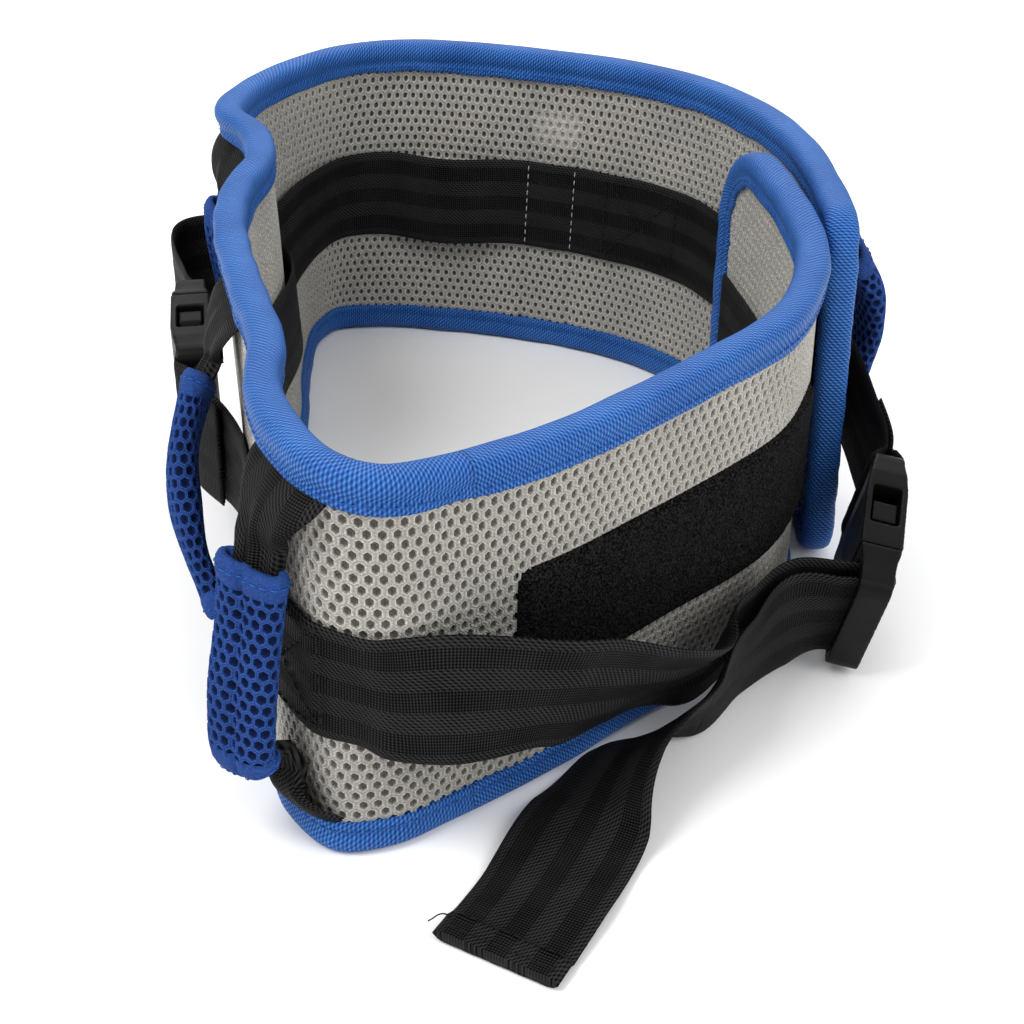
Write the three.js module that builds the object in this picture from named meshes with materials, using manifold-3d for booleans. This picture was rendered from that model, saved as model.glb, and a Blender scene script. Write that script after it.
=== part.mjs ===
// Gait belt: a padded waist belt with five grab handles and two side-release buckles.
// Units are millimetres. +Z is up, -Y is the front, +X is to the right of someone facing the front.
// The belt stands on its lower edge, closed into a ring. The ring is one long padded strip, and
// most pieces are made flat, in strip coordinates, and then wrapped onto the strip's path:
//   along  - distance along the strip from its inner end (under the flap) to its outer end
//   out    - distance out of the strip's middle surface, positive away from the wearer
//   height - height above the lower edge
import * as THREE from 'three';
import { mergeVertices } from 'three/addons/utils/BufferGeometryUtils.js';
import Module from 'manifold-3d';

const wasm = await Module();
wasm.setup();

// ---- driving dimensions -------------------------------------------------------------------

const beltHeight = 130;
const gap = 0.3;                    // clearance between pieces that touch on the real belt
const coreThickness = 4;            // foam
const meshThickness = 1.3;          // spacer mesh, inside and outside
const bindingWidth = 11;            // how far the edge tape covers each face
const bindingThickness = 0.9;
const bindingRoll = 4;              // solid part of the tape beyond the pad's edge
const webbingWidth = 38;
const webbingThickness = 1.5;
const waistHeight = 60;             // middle of every waist webbing
const patchHeight = 47;             // hook and loop patches
const patchThickness = 1.5;
const innerEndLength = 120;         // the inner end, from its tip to the fold it swings on

// Every wrapped piece has points at these heights, the edges of the waist webbing.
const rows = [waistHeight - webbingWidth / 2, waistHeight + webbingWidth / 2];
const padFace = coreThickness / 2 + gap + meshThickness;
const bindingFace = padFace + gap + bindingThickness;
const onPad = padFace + gap;

// ---- the strip's path ---------------------------------------------------------------------

// Where the strip's upper and lower edges run, seen from above, from the inner end round the
// front, the left side, the back and the right side to the end of the outer flap.
const edgePoints = [
  { top: [79, 105], bottom: [78, 105] },      // inner end
  { top: [84, 82], bottom: [83, 80] },
  { top: [89, 55], bottom: [88, 54] },
  { top: [92, 28], bottom: [91, 27] },
  { top: [92, 5], bottom: [90, 8] },
  { top: [88, -16], bottom: [84, -10] },      // fold at the right front
  { top: [78, -41], bottom: [70, -32] },
  { top: [48, -75], bottom: [40, -58] },
  { top: [12, -108], bottom: [9, -86] },
  { top: [-13, -123], bottom: [-15, -104] },
  { top: [-32, -129], bottom: [-34, -117] },
  { top: [-46, -122], bottom: [-48, -120] },  // front left corner
  { top: [-58, -104], bottom: [-61, -106] },
  { top: [-66, -82], bottom: [-69, -80] },
  { top: [-68, -55], bottom: [-75, -50] },
  { top: [-78, -20], bottom: [-81, -15] },
  { top: [-89, 25], bottom: [-85, 30] },
  { top: [-90, 55], bottom: [-86, 62] },
  { top: [-86, 80], bottom: [-85, 90] },
  { top: [-91, 105], bottom: [-85, 116] },
  { top: [-103, 126], bottom: [-87, 142] },   // peak where the back left handle pulls
  { top: [-98, 150], bottom: [-88, 168] },
  { top: [-85, 173], bottom: [-87, 190] },
  { top: [-68, 190], bottom: [-78, 206] },    // back left crease
  { top: [-46, 198], bottom: [-57, 210] },
  { top: [-20, 196], bottom: [-27, 206] },
  { top: [16, 185], bottom: [10, 196] },
  { top: [48, 171], bottom: [42, 181] },
  { top: [74, 150], bottom: [67, 160] },
  { top: [92, 121], bottom: [87, 133] },
  { top: [101, 90], bottom: [100, 102] },
  { top: [104, 58], bottom: [106, 66] },
  { top: [105, 22], bottom: [107, 20] },      // end of the outer flap
];

const edgeCurve = (side, z) => new THREE.CatmullRomCurve3(
  edgePoints.map((point) => new THREE.Vector3(...point[side], z)), false, 'centripetal');
const topCurve = edgeCurve('top', beltHeight);
const bottomCurve = edgeCurve('bottom', 0);

// Stations along the strip: close together where it bends, further apart where it is straight.
const samplesPerPoint = 24;
const largestTurn = THREE.MathUtils.degToRad(13);
const largestStep = 18;
const smallestStep = 2.5;
const largestTwist = 3;                       // change in how far the strip leans, per cell
const endCell = bindingWidth + 1;             // the first and last cells hold the end bindings

function samplePath() {
  const count = (edgePoints.length - 1) * samplesPerPoint;
  const samples = [];
  let along = 0;
  for (let i = 0; i <= count; i += 1) {
    const top = topCurve.getPoint(i / count);
    const bottom = bottomCurve.getPoint(i / count);
    const middle = top.clone().lerp(bottom, 0.5);
    if (i > 0) along += middle.distanceTo(samples[i - 1].middle);
    samples.push({ top, bottom, middle, along });
  }
  samples.forEach((sample, i) => {
    const before = samples[Math.max(i - 1, 0)].middle;
    const after = samples[Math.min(i + 1, count)].middle;
    const heading = after.clone().sub(before).setZ(0).normalize();
    sample.heading = heading;
    sample.normal = new THREE.Vector3(-heading.y, heading.x, 0);
    sample.lean = sample.top.clone().sub(sample.bottom).setZ(0);
  });
  return samples;
}

const samples = samplePath();
const beltLength = samples.at(-1).along;

function sampleAt(along) {
  const next = samples.findIndex((sample) => sample.along >= along);
  if (next <= 0) return next === 0 ? samples[0] : samples.at(-1);
  const a = samples[next - 1];
  const b = samples[next];
  const share = (along - a.along) / (b.along - a.along);
  return {
    along,
    top: a.top.clone().lerp(b.top, share),
    bottom: a.bottom.clone().lerp(b.bottom, share),
    lean: a.lean.clone().lerp(b.lean, share),
    heading: a.heading.clone().lerp(b.heading, share).normalize(),
    normal: a.normal.clone().lerp(b.normal, share).normalize(),
  };
}

function chooseStations() {
  const forced = [endCell, innerEndLength, beltLength - endCell, beltLength];
  const stations = [sampleAt(0)];
  for (const limit of forced) {
    for (const sample of samples) {
      const last = stations.at(-1);
      if (sample.along <= last.along + smallestStep) continue;
      if (sample.along >= limit - smallestStep) break;
      const turn = sample.heading.angleTo(last.heading);
      const step = sample.along - last.along;
      const twist = Math.abs(sample.lean.clone().sub(last.lean).dot(sample.normal));
      const tooFar = turn > largestTurn || step > largestStep || twist > largestTwist;
      if (last.along >= endCell && tooFar) stations.push(sample);
    }
    stations.push(sampleAt(limit));
  }
  return stations;
}

const stations = chooseStations();

// A place on the wrapped strip. Between two stations everything is interpolated linearly, so
// pieces that are parallel when flat stay parallel, and clear of each other, when wrapped.
function place(along, out, height) {
  const last = stations.length - 2;
  let cell = stations.findIndex((station) => station.along > along) - 1;
  if (cell < 0) cell = along <= 0 ? 0 : last;
  const a = stations[cell];
  const b = stations[cell + 1];
  const share = (along - a.along) / (b.along - a.along);
  const rise = height / beltHeight;
  const onA = a.bottom.clone().lerp(a.top, rise).addScaledVector(a.normal, out);
  const onB = b.bottom.clone().lerp(b.top, rise).addScaledVector(b.normal, out);
  return onA.lerp(onB, share);
}

function directionsAt(along) {
  const sample = sampleAt(along);
  return { heading: sample.heading, normal: sample.normal };
}

// ---- geometry helpers ---------------------------------------------------------------------

function polygon(points) {
  return new THREE.Shape(points.map(([x, y]) => new THREE.Vector2(x, y)));
}

function rectangle(x0, x1, y0, y1) {
  return polygon([[x0, y0], [x1, y0], [x1, y1], [x0, y1]]);
}

// A closed solid through a row of rings, each of them the section's outline put somewhere in
// space. Every four-sided face is split the same way, from its lower corner to the next ring's
// upper corner, so that the facing sides of two neighbouring pieces are split alike.
function sweep(outline, rings) {
  const size = outline.length;
  const isBelow = (a, b) => a.y < b.y || (a.y === b.y && a.x < b.x);
  const indices = [];
  for (let ring = 0; ring < rings.length - 1; ring += 1) {
    for (let i = 0; i < size; i += 1) {
      const j = (i + 1) % size;
      const a = ring * size + i;
      const b = ring * size + j;
      const c = b + size;
      const d = a + size;
      if (isBelow(outline[i], outline[j])) indices.push(a, b, c, a, c, d);
      else indices.push(a, b, d, b, c, d);
    }
  }
  const lastRing = (rings.length - 1) * size;
  for (const [a, b, c] of THREE.ShapeUtils.triangulateShape(outline, [])) {
    indices.push(a, c, b, lastRing + a, lastRing + b, lastRing + c);
  }
  const geometry = new THREE.BufferGeometry().setFromPoints(rings.flat());
  geometry.setIndex(indices);
  geometry.computeVertexNormals();
  return geometry;
}

function mergeByPosition(geometry) {
  const bare = geometry.clone();
  bare.deleteAttribute('normal');
  bare.deleteAttribute('uv');
  return mergeVertices(bare, 1e-4);
}

// The outline of a section, counterclockwise, with a point wherever an edge crosses a row.
function outlineWithRows(section) {
  const corners = section.getPoints();
  if (THREE.ShapeUtils.isClockWise(corners)) corners.reverse();
  return corners.flatMap((corner, i) => {
    const next = corners[(i + 1) % corners.length];
    const crossed = rows.filter((row) => (row - corner.y) * (row - next.y) < 0);
    if (next.y < corner.y) crossed.reverse();
    const share = (row) => (row - corner.y) / (next.y - corner.y);
    return [corner, ...crossed.map((row) => corner.clone().lerp(next, share(row)))];
  });
}

// A section in (out, height), carried along the strip and wrapped onto its path.
function wrapSection(section, from, to) {
  const margin = 0.5;
  const inside = stations.map((station) => station.along)
    .filter((along) => along > from + margin && along < to - margin);
  const outline = outlineWithRows(section);
  return sweep(outline, [from, ...inside, to].map(
    (along) => outline.map((point) => place(along, point.x, point.y))));
}

// A section in (along, out), carried from the lower edge to the upper edge and wrapped.
function wrapUpright(section) {
  const outline = section.getPoints();
  if (THREE.ShapeUtils.isClockWise(outline)) outline.reverse();
  return sweep(outline, [0, ...rows, beltHeight].map(
    (height) => outline.map((point) => place(point.x, point.y, height))));
}

function toSolid(geometry) {
  const bare = mergeByPosition(geometry);
  return new wasm.Manifold(new wasm.Mesh({
    numProp: 3,
    vertProperties: new Float32Array(bare.attributes.position.array),
    triVerts: new Uint32Array(bare.index.array),
  }));
}

function toGeometry(solid) {
  const mesh = solid.getMesh();
  const geometry = new THREE.BufferGeometry();
  geometry.setAttribute('position', new THREE.BufferAttribute(mesh.vertProperties, 3));
  geometry.setIndex(new THREE.BufferAttribute(mesh.triVerts, 1));
  geometry.computeVertexNormals();
  return geometry;
}

function cut(body, ...tools) {
  const solid = tools.reduce((left, tool) => left.subtract(toSolid(tool)), toSolid(body));
  return toGeometry(solid);
}

function join(body, ...others) {
  const solid = others.reduce((left, other) => left.add(toSolid(other)), toSolid(body));
  return toGeometry(solid);
}

function box(x0, x1, y0, y1, z0, z1) {
  const geometry = new THREE.BoxGeometry(x1 - x0, y1 - y0, z1 - z0);
  return geometry.translate((x0 + x1) / 2, (y0 + y1) / 2, (z0 + z1) / 2);
}

// ---- materials ----------------------------------------------------------------------------

const material = (color, roughness, metalness = 0) =>
  new THREE.MeshStandardMaterial({ color, roughness, metalness });
const looks = {
  mesh: material(0xa8a49c, 0.9),
  foam: material(0xd8d6d0, 0.95),
  binding: material(0x2f6fd0, 0.6),
  sleeve: material(0x1d46a0, 0.8),
  webbing: material(0x1a1a1c, 0.6),
  patch: material(0x141416, 0.95),
  plastic: material(0x202022, 0.5),
};

const belt = new THREE.Group();
belt.name = 'gait_belt';

function addPiece(name, geometry, look, parent = belt) {
  const mesh = new THREE.Mesh(geometry, looks[look].clone());
  mesh.name = name;
  parent.add(mesh);
  return mesh;
}

// ---- the padded strip ---------------------------------------------------------------------

const panelBottom = bindingRoll + gap;
const panelTop = beltHeight - panelBottom;

function panelSection(outFrom, outTo) {
  return rectangle(outFrom, outTo, panelBottom, panelTop);
}

// The edge tape's U section, folded over the upper edge of the pad.
const slotFace = bindingFace - bindingThickness;
const tapeSection = [
  [-bindingFace, beltHeight - bindingWidth], [-slotFace, beltHeight - bindingWidth],
  [-slotFace, beltHeight - bindingRoll], [slotFace, beltHeight - bindingRoll],
  [slotFace, beltHeight - bindingWidth], [bindingFace, beltHeight - bindingWidth],
  [bindingFace, beltHeight], [-bindingFace, beltHeight],
];
const upperTape = polygon(tapeSection);
const lowerTape = polygon(tapeSection.map(([out, height]) => [out, beltHeight - height]).reverse());

// The same tape folded over an end of the strip; side is 1 at the inner end, -1 at the outer end.
function endTape(end, side) {
  const points = [
    [0, -bindingFace], [bindingWidth, -bindingFace], [bindingWidth, -slotFace],
    [bindingRoll, -slotFace], [bindingRoll, slotFace], [bindingWidth, slotFace],
    [bindingWidth, bindingFace], [0, bindingFace],
  ].map(([along, out]) => [end + side * along, out]);
  return wrapUpright(polygon(points));
}

function addPadding(prefix, from, to, tapeFrom, tapeTo) {
  const half = coreThickness / 2;
  addPiece(`${prefix}_outer_mesh`, wrapSection(panelSection(half + gap, padFace), from, to), 'mesh');
  addPiece(`${prefix}_foam_core`, wrapSection(panelSection(-half, half), from, to), 'foam');
  addPiece(`${prefix}_inner_mesh`, wrapSection(panelSection(-padFace, -half - gap), from, to), 'mesh');
  addPiece(`${prefix}_upper_binding`, wrapSection(upperTape, tapeFrom, tapeTo), 'binding');
  addPiece(`${prefix}_lower_binding`, wrapSection(lowerTape, tapeFrom, tapeTo), 'binding');
}

const foldBefore = innerEndLength - gap / 2;
const foldAfter = innerEndLength + gap / 2;
const panelInset = bindingRoll + gap;
const tapeInset = bindingWidth + gap;
addPadding('inner_end', panelInset, foldBefore, tapeInset, foldBefore);
addPadding('belt', foldAfter, beltLength - panelInset, foldAfter, beltLength - tapeInset);
addPiece('inner_end_tip_binding', endTape(0, 1), 'binding');
addPiece('outer_flap_end_binding', endTape(beltLength, -1), 'binding');

// ---- flat pieces sewn to the strip --------------------------------------------------------

// A strip of webbing or hook and loop lying on a face; side is 1 outside and -1 inside.
function sewnStrip(from, to, middle, width, thickness, side = 1) {
  const faces = [side * onPad, side * (onPad + thickness)].sort((a, b) => a - b);
  return wrapSection(rectangle(faces[0], faces[1], middle - width / 2, middle + width / 2), from, to);
}

const webbingStrip = (from, to) =>
  sewnStrip(from, to, waistHeight, webbingWidth, webbingThickness);

const loopPatchEnd = 248;           // along the strip, on the outside of the front
const hookPatchLength = 62;         // on the inside of the outer flap
const patchMiddle = 64.5;
const innerBandEnd = 86;            // how far short of the outer end the inner band stops

const innerBand = (from, to) =>
  sewnStrip(from, to, waistHeight, webbingWidth, webbingThickness, -1);
addPiece('inner_waist_band', innerBand(foldAfter, beltLength - innerBandEnd), 'webbing');
addPiece('inner_end_band', innerBand(tapeInset + gap, foldBefore), 'webbing');
addPiece('loop_patch',
  sewnStrip(foldAfter, loopPatchEnd, patchMiddle, patchHeight, patchThickness), 'patch');
const hookPatchTo = beltLength - tapeInset;
addPiece('hook_patch', sewnStrip(hookPatchTo - hookPatchLength, hookPatchTo, patchMiddle,
  patchHeight, patchThickness, -1), 'patch');

// ---- free webbing -------------------------------------------------------------------------

// A ribbon through the given frames: at is a point on its middle line, and up points across its
// width, from the lower edge to the upper edge.
function ribbon(frames, steps, width = webbingWidth, thickness = webbingThickness) {
  const curve = (key) => new THREE.CatmullRomCurve3(
    frames.map((frame) => new THREE.Vector3(...frame[key])), false, 'centripetal');
  const middle = curve('at');
  const across = curve('up');
  const outline = rectangle(-thickness / 2, thickness / 2, -width / 2, width / 2).getPoints();
  const rings = Array.from({ length: steps + 1 }, (_, step) => {
    const tangent = middle.getTangent(step / steps);
    const up = across.getPoint(step / steps);
    up.addScaledVector(tangent, -up.dot(tangent)).normalize();
    const side = up.clone().cross(tangent);
    const centre = middle.getPoint(step / steps);
    return outline.map((p) => centre.clone().addScaledVector(side, p.x).addScaledVector(up, p.y));
  });
  return sweep(outline, rings);
}

// The point on the middle of a webbing sewn outside, where it leaves the pad.
function sewnEnd(along) {
  const out = onPad + webbingThickness / 2;
  const up = place(along, out, rows[1]).sub(place(along, out, rows[0]));
  return { at: place(along, out, waistHeight).toArray(), up: up.toArray() };
}

// ---- side-release buckles -----------------------------------------------------------------
// A buckle has its own frame: x runs from the female's strap end to the male's strap end, y is
// across its width, and z is through its thickness.

const buckleWidth = 46;
const buckleThickness = 12;
const buckleCorner = 5;
const femaleLength = 42;
const maleEnd = 59;
const strapSlot = { width: 3.4, length: 39 };
const femaleSlotAt = 4;
const maleSlotsAt = [46.2, 52];
const cavity = { from: 12, width: 34, height: 7.4 };
const sideWindow = { from: 14, to: 29, height: 8 };
const prong = {
  rootAt: 41.6, tipAt: 16, middle: 13, thickness: 3, height: 6, headLength: 11, reach: 20.6,
};
const guide = { from: 18, width: 11, height: 5 };

// A slab with rounded outline corners: x from..to, full buckle width, centred on z.
function slab(from, to, roundFrom, roundTo) {
  const half = buckleWidth / 2;
  const a = roundFrom ? buckleCorner : 0.01;
  const b = roundTo ? buckleCorner : 0.01;
  const outline = new THREE.Shape();
  outline.moveTo(from + a, -half);
  outline.lineTo(to - b, -half);
  outline.quadraticCurveTo(to, -half, to, -half + b);
  outline.lineTo(to, half - b);
  outline.quadraticCurveTo(to, half, to - b, half);
  outline.lineTo(from + a, half);
  outline.quadraticCurveTo(from, half, from, half - a);
  outline.lineTo(from, -half + a);
  outline.quadraticCurveTo(from, -half, from + a, -half);
  const geometry = new THREE.ExtrudeGeometry(outline,
    { depth: buckleThickness, bevelEnabled: false, curveSegments: 4 });
  return geometry.translate(0, 0, -buckleThickness / 2);
}

function slotBox(at) {
  const half = strapSlot.length / 2;
  return box(at, at + strapSlot.width, -half, half, -buckleThickness, buckleThickness);
}

function femaleGeometry() {
  const beyond = 1;
  const halfWidth = cavity.width / 2;
  const hollow = box(cavity.from, femaleLength + beyond, -halfWidth, halfWidth,
    -cavity.height / 2, cavity.height / 2);
  const windows = box(sideWindow.from, sideWindow.to, -buckleWidth, buckleWidth,
    -sideWindow.height / 2, sideWindow.height / 2);
  return cut(slab(0, femaleLength, true, false), hollow, windows, slotBox(femaleSlotAt));
}

function maleGeometry() {
  const base = slab(femaleLength + gap, maleEnd, false, true);
  const tongue = box(guide.from, femaleLength + 1, -guide.width / 2, guide.width / 2,
    -guide.height / 2, guide.height / 2);
  return cut(join(base, tongue), ...maleSlotsAt.map(slotBox));
}

// One springy arm with its catch, on the side of positive y.
function prongGeometry() {
  const inner = prong.middle - prong.thickness / 2;
  const outer = prong.middle + prong.thickness / 2;
  const headEnd = prong.tipAt + prong.headLength;
  const outline = polygon([
    [prong.tipAt, inner], [prong.rootAt, inner], [prong.rootAt, outer],
    [headEnd + 1, outer], [headEnd, prong.reach], [prong.tipAt + 4, prong.reach],
    [prong.tipAt, outer],
  ]);
  const geometry = new THREE.ExtrudeGeometry(outline, { depth: prong.height, bevelEnabled: false });
  return geometry.translate(0, 0, -prong.height / 2);
}

function addBuckle(prefix, { strapEnd, forward, up }) {
  const x = new THREE.Vector3(...forward).normalize();
  const y = new THREE.Vector3(...up);
  y.addScaledVector(x, -y.dot(x)).normalize();
  const z = new THREE.Vector3().crossVectors(x, y);
  const frame = new THREE.Group();
  frame.position.set(...strapEnd);
  frame.quaternion.setFromRotationMatrix(new THREE.Matrix4().makeBasis(x, y, z));
  belt.add(frame);
  addPiece(`${prefix}_buckle_female`, femaleGeometry(), 'plastic', frame);
  addPiece(`${prefix}_buckle_male`, maleGeometry(), 'plastic', frame);
  addPiece(`${prefix}_buckle_upper_prong`, prongGeometry(), 'plastic', frame);
  const lower = addPiece(`${prefix}_buckle_lower_prong`, prongGeometry(), 'plastic', frame);
  lower.rotation.x = Math.PI;
}

const rightBuckle = {
  strapEnd: [119.8, 6.3, 39],
  forward: [-0.208, -0.939, -0.273],
  up: [0.124, -0.302, 0.945],
};
const leftBuckle = {
  strapEnd: [-105.2, 23.4, 61],
  forward: [-0.15, 0.989, 0],
  up: [0, 0, 1],
};
addBuckle('right', rightBuckle);
addBuckle('left', leftBuckle);

// ---- grab handles -------------------------------------------------------------------------
// A handle is a loop of webbing in a mesh sleeve. Its ends are flat tabs, sewn to the pad under
// the edge tape. The loop between the tabs is narrower, bows out from the pad in an arc and
// swings about the line through its two ends.

const handleMiddle = 65;
const handleReach = 36;             // from the middle to where the loop leaves each tab
const handleEndOut = 11;            // how far out the loop's ends stand
const tabWidth = 38;
const tabBend = 8;                  // height over which a tab comes out from the pad
const loopWidth = 21;
const loopThickness = 3;
const sleeve = { width: 25, thickness: 8, hollow: 3.8, hollowWidth: 21.8, share: 0.88 };

// One sewn end; side is 1 for the upper tab and -1 for the lower one.
function tabGeometry(along, side) {
  const outer = onPad + webbingThickness;
  const tapeEdge = beltHeight / 2 - bindingWidth - gap;
  const bend = handleReach + tabBend;
  const end = handleReach + 1.6;
  const half = webbingThickness / 2;
  const profile = [
    [onPad, tapeEdge], [onPad, bend], [handleEndOut - half, end],
    [handleEndOut + half, end], [outer, bend + 0.6], [outer, tapeEdge],
  ].map(([out, rise]) => [out, beltHeight / 2 + side * rise]);
  return wrapSection(polygon(profile), along - tabWidth / 2, along + tabWidth / 2);
}

// An arc-shaped bar in (out, rise), about a centre, extruded across its width.
function arcBar(radius, centreOut, halfAngle, thickness, width) {
  const shape = new THREE.Shape();
  shape.absarc(centreOut, 0, radius + thickness / 2, -halfAngle, halfAngle, false);
  shape.absarc(centreOut, 0, radius - thickness / 2, halfAngle, -halfAngle, true);
  const geometry = new THREE.ExtrudeGeometry(shape,
    { depth: width, bevelEnabled: false, curveSegments: 9 });
  geometry.translate(0, 0, -width / 2);
  const turn = new THREE.Matrix4().makeBasis(
    new THREE.Vector3(0, 1, 0), new THREE.Vector3(0, 0, 1), new THREE.Vector3(1, 0, 0));
  return geometry.applyMatrix4(turn);
}

function addHandle(prefix, { upperAt, lowerAt, standOff, trim }) {
  addPiece(`${prefix}_handle_upper_tab`, tabGeometry(upperAt, 1), 'webbing');
  addPiece(`${prefix}_handle_lower_tab`, tabGeometry(lowerAt, -1), 'webbing');
  const upper = place(upperAt, handleEndOut, handleMiddle + handleReach);
  const lower = place(lowerAt, handleEndOut, handleMiddle - handleReach);
  const rise = upper.clone().sub(lower);
  const halfChord = rise.length() / 2;
  rise.normalize();
  const out = directionsAt((upperAt + lowerAt) / 2).normal;
  out.addScaledVector(rise, -out.dot(rise)).normalize();
  const across = new THREE.Vector3().crossVectors(out, rise);
  const swing = new THREE.Group();
  swing.position.copy(upper).lerp(lower, 0.5);
  swing.quaternion.setFromRotationMatrix(new THREE.Matrix4().makeBasis(across, out, rise));
  belt.add(swing);

  const bow = standOff - handleEndOut;
  const radius = (halfChord ** 2 + bow ** 2) / (2 * bow);
  const centreOut = bow - radius;
  const halfAngle = Math.asin((halfChord - trim) / (radius + loopThickness / 2));
  addPiece(`${prefix}_handle_webbing`,
    arcBar(radius, centreOut, halfAngle, loopThickness, loopWidth), 'webbing', swing);
  const sleeveAngle = halfAngle * sleeve.share;
  addPiece(`${prefix}_handle_sleeve`, cut(
    arcBar(radius, centreOut, sleeveAngle, sleeve.thickness, sleeve.width),
    arcBar(radius, centreOut, halfAngle, sleeve.hollow, sleeve.hollowWidth)), 'sleeve', swing);
}

// Where each handle's tabs are sewn, along the strip, how far out its loop stands, and how far
// the loop's ends keep short of the tabs, which is more where the loop leans across them.
const handles = {
  front_left: { upperAt: 314, lowerAt: 312, standOff: 19, trim: 2.2 },
  left: { upperAt: 418, lowerAt: 372, standOff: 23, trim: 6.5 },
  back_left: { upperAt: 550, lowerAt: 550, standOff: 16.5, trim: 2.2 },
  back: { upperAt: 726, lowerAt: 726, standOff: 24, trim: 2.2 },
  right: { upperAt: 876, lowerAt: 870, standOff: 25, trim: 2.2 },
};
for (const [prefix, handle] of Object.entries(handles)) addHandle(prefix, handle);

// ---- waist straps and the hanging tail ----------------------------------------------------

// Front strap: sewn across the front left corner, then free to the right buckle's male half. It
// leans over until it is nearly flat halfway, and stands up again at the buckle.
const frontStrapSewn = { from: 289, to: 332 };
const frontStrapFree = [
  sewnEnd(frontStrapSewn.from + 1),
  { at: [-32, -130.5, 60], up: [0, 0.08, 1] },
  { at: [-16, -131, 60.5], up: [0, 0.2, 1] },
  { at: [12, -123, 56], up: [0, -0.15, 1] },
  { at: [24, -114, 50], up: [0, -0.3, 0.95] },
  { at: [38, -100, 41], up: [-0.05, -0.6, 0.8] },
  { at: [55, -78, 30], up: [-0.15, -0.75, 0.65] },
  { at: [68.5, -57, 27.5], up: [-0.13, -0.46, 0.87] },
  { at: [86, -42, 28], up: [-0.05, -0.16, 0.98] },
  { at: [101, -38, 27.5], up: [0.124, -0.302, 0.945] },
];
addPiece('front_waist_strap', join(
  webbingStrip(frontStrapSewn.from, frontStrapSewn.to), ribbon(frontStrapFree, 32)), 'webbing');

// The same strap coming back out of the buckle, in front of itself.
const strapReturn = [
  { at: [100, -43.5, 25.5], up: [0.124, -0.302, 0.945] },
  { at: [86.6, -46.8, 25.5], up: [-0.1, -0.16, 0.98] },
  { at: [71.6, -61, 21.5], up: [-0.11, -0.43, 0.9] },
  { at: [58.8, -79, 19.4], up: [-0.17, -0.64, 0.75] },
];
addPiece('front_strap_return', ribbon(strapReturn, 10), 'webbing');

// The strap's free tail, turning over to lie on the floor.
const strapTail = [
  { at: [57.8, -80.3, 19.3], up: [-0.15, -0.64, 0.75] },
  { at: [45, -91, 18.6], up: [0.15, -0.65, 0.68] },
  { at: [33.8, -99, 16], up: [0.4, -0.74, 0.5] },
  { at: [22.5, -114.5, 5.2], up: [0.4, -0.9, -0.1] },
  { at: [9, -142, 2.6], up: [0.62, -0.78, 0.03] },
  { at: [-4.7, -166.3, 1.4], up: [0.91, -0.4, 0] },
];
addPiece('strap_tail', ribbon(strapTail, 20), 'webbing');

// Right rear webbing: sewn to the outer flap, then free to the right buckle's female half.
const rightWebbingSewn = { from: 850, to: 888 };
const rightWebbingFree = [
  sewnEnd(rightWebbingSewn.to - 1),
  { at: [115, 48, 57], up: [0, 0, 1] },
  { at: [119, 30, 49.5], up: [0.04, -0.1, 0.98] },
  { at: [121, 16, 43], up: [0.1, -0.25, 0.95] },
  { at: [120.5, 9.6, 40.2], up: [0.124, -0.302, 0.945] },
];
addPiece('right_waist_webbing', join(
  webbingStrip(rightWebbingSewn.from, rightWebbingSewn.to), ribbon(rightWebbingFree, 12)), 'webbing');

// Left front webbing: sewn to the left side, then free to the left buckle's female half.
const leftWebbingSewn = { from: 362, to: 408 };
const leftWebbingFree = [
  sewnEnd(leftWebbingSewn.to - 1),
  { at: [-91, -5, 60], up: [0, 0, 1] },
  { at: [-101, 8, 61], up: [0, 0, 1] },
  { at: [-105, 22.5, 61], up: [0, 0, 1] },
];
addPiece('left_waist_webbing', join(
  webbingStrip(leftWebbingSewn.from, leftWebbingSewn.to), ribbon(leftWebbingFree, 8)), 'webbing');

// Left rear strap: sewn to the back left of the belt, then out in a U turn to the left buckle's
// male half. The leg beyond the turn moves with the male half.
const leftRearSewn = { from: 512, to: 552 };
const leftRearTurn = [
  sewnEnd(leftRearSewn.to - 1),
  { at: [-106, 134, 60.5], up: [0, 0, 1] },
  { at: [-111, 140.5, 61], up: [0, 0, 1] },
  { at: [-117.5, 142.5, 61], up: [0, 0, 1] },
];
const leftRearLeg = [
  { at: [-118.4, 142.5, 61], up: [0, 0, 1] },
  { at: [-125, 138.5, 61], up: [0, 0, 1] },
  { at: [-128, 130, 61], up: [0, 0, 1] },
  { at: [-124.5, 112, 61], up: [0, 0, 1] },
  { at: [-119.5, 98, 61], up: [0, 0, 1] },
  { at: [-115.2, 84.6, 61], up: [0, 0, 1] },
];
addPiece('left_rear_strap', join(
  webbingStrip(leftRearSewn.from, leftRearSewn.to), ribbon(leftRearTurn, 8)), 'webbing');
addPiece('left_rear_strap_leg', ribbon(leftRearLeg, 12), 'webbing');

// ---- origin: the middle of the bounding box, on the floor ---------------------------------

const bounds = new THREE.Box3().setFromObject(belt, true);
const middle = bounds.getCenter(new THREE.Vector3());
belt.position.set(-middle.x, -middle.y, -bounds.min.z);

export default belt;
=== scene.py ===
"""Gait belt: a padded waist belt with five grab handles and two side-release buckles.

Metres, +Z up, -Y the front, +X to the right of someone facing the front, as in the CAD frame.
The padded strip runs on one path, and pieces sewn to it are made in strip coordinates:
along (from the inner end to the outer end), out (away from the wearer) and height.
"""
import math

import bmesh
import bpy
import numpy as np
from mathutils import Matrix, Vector


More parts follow.
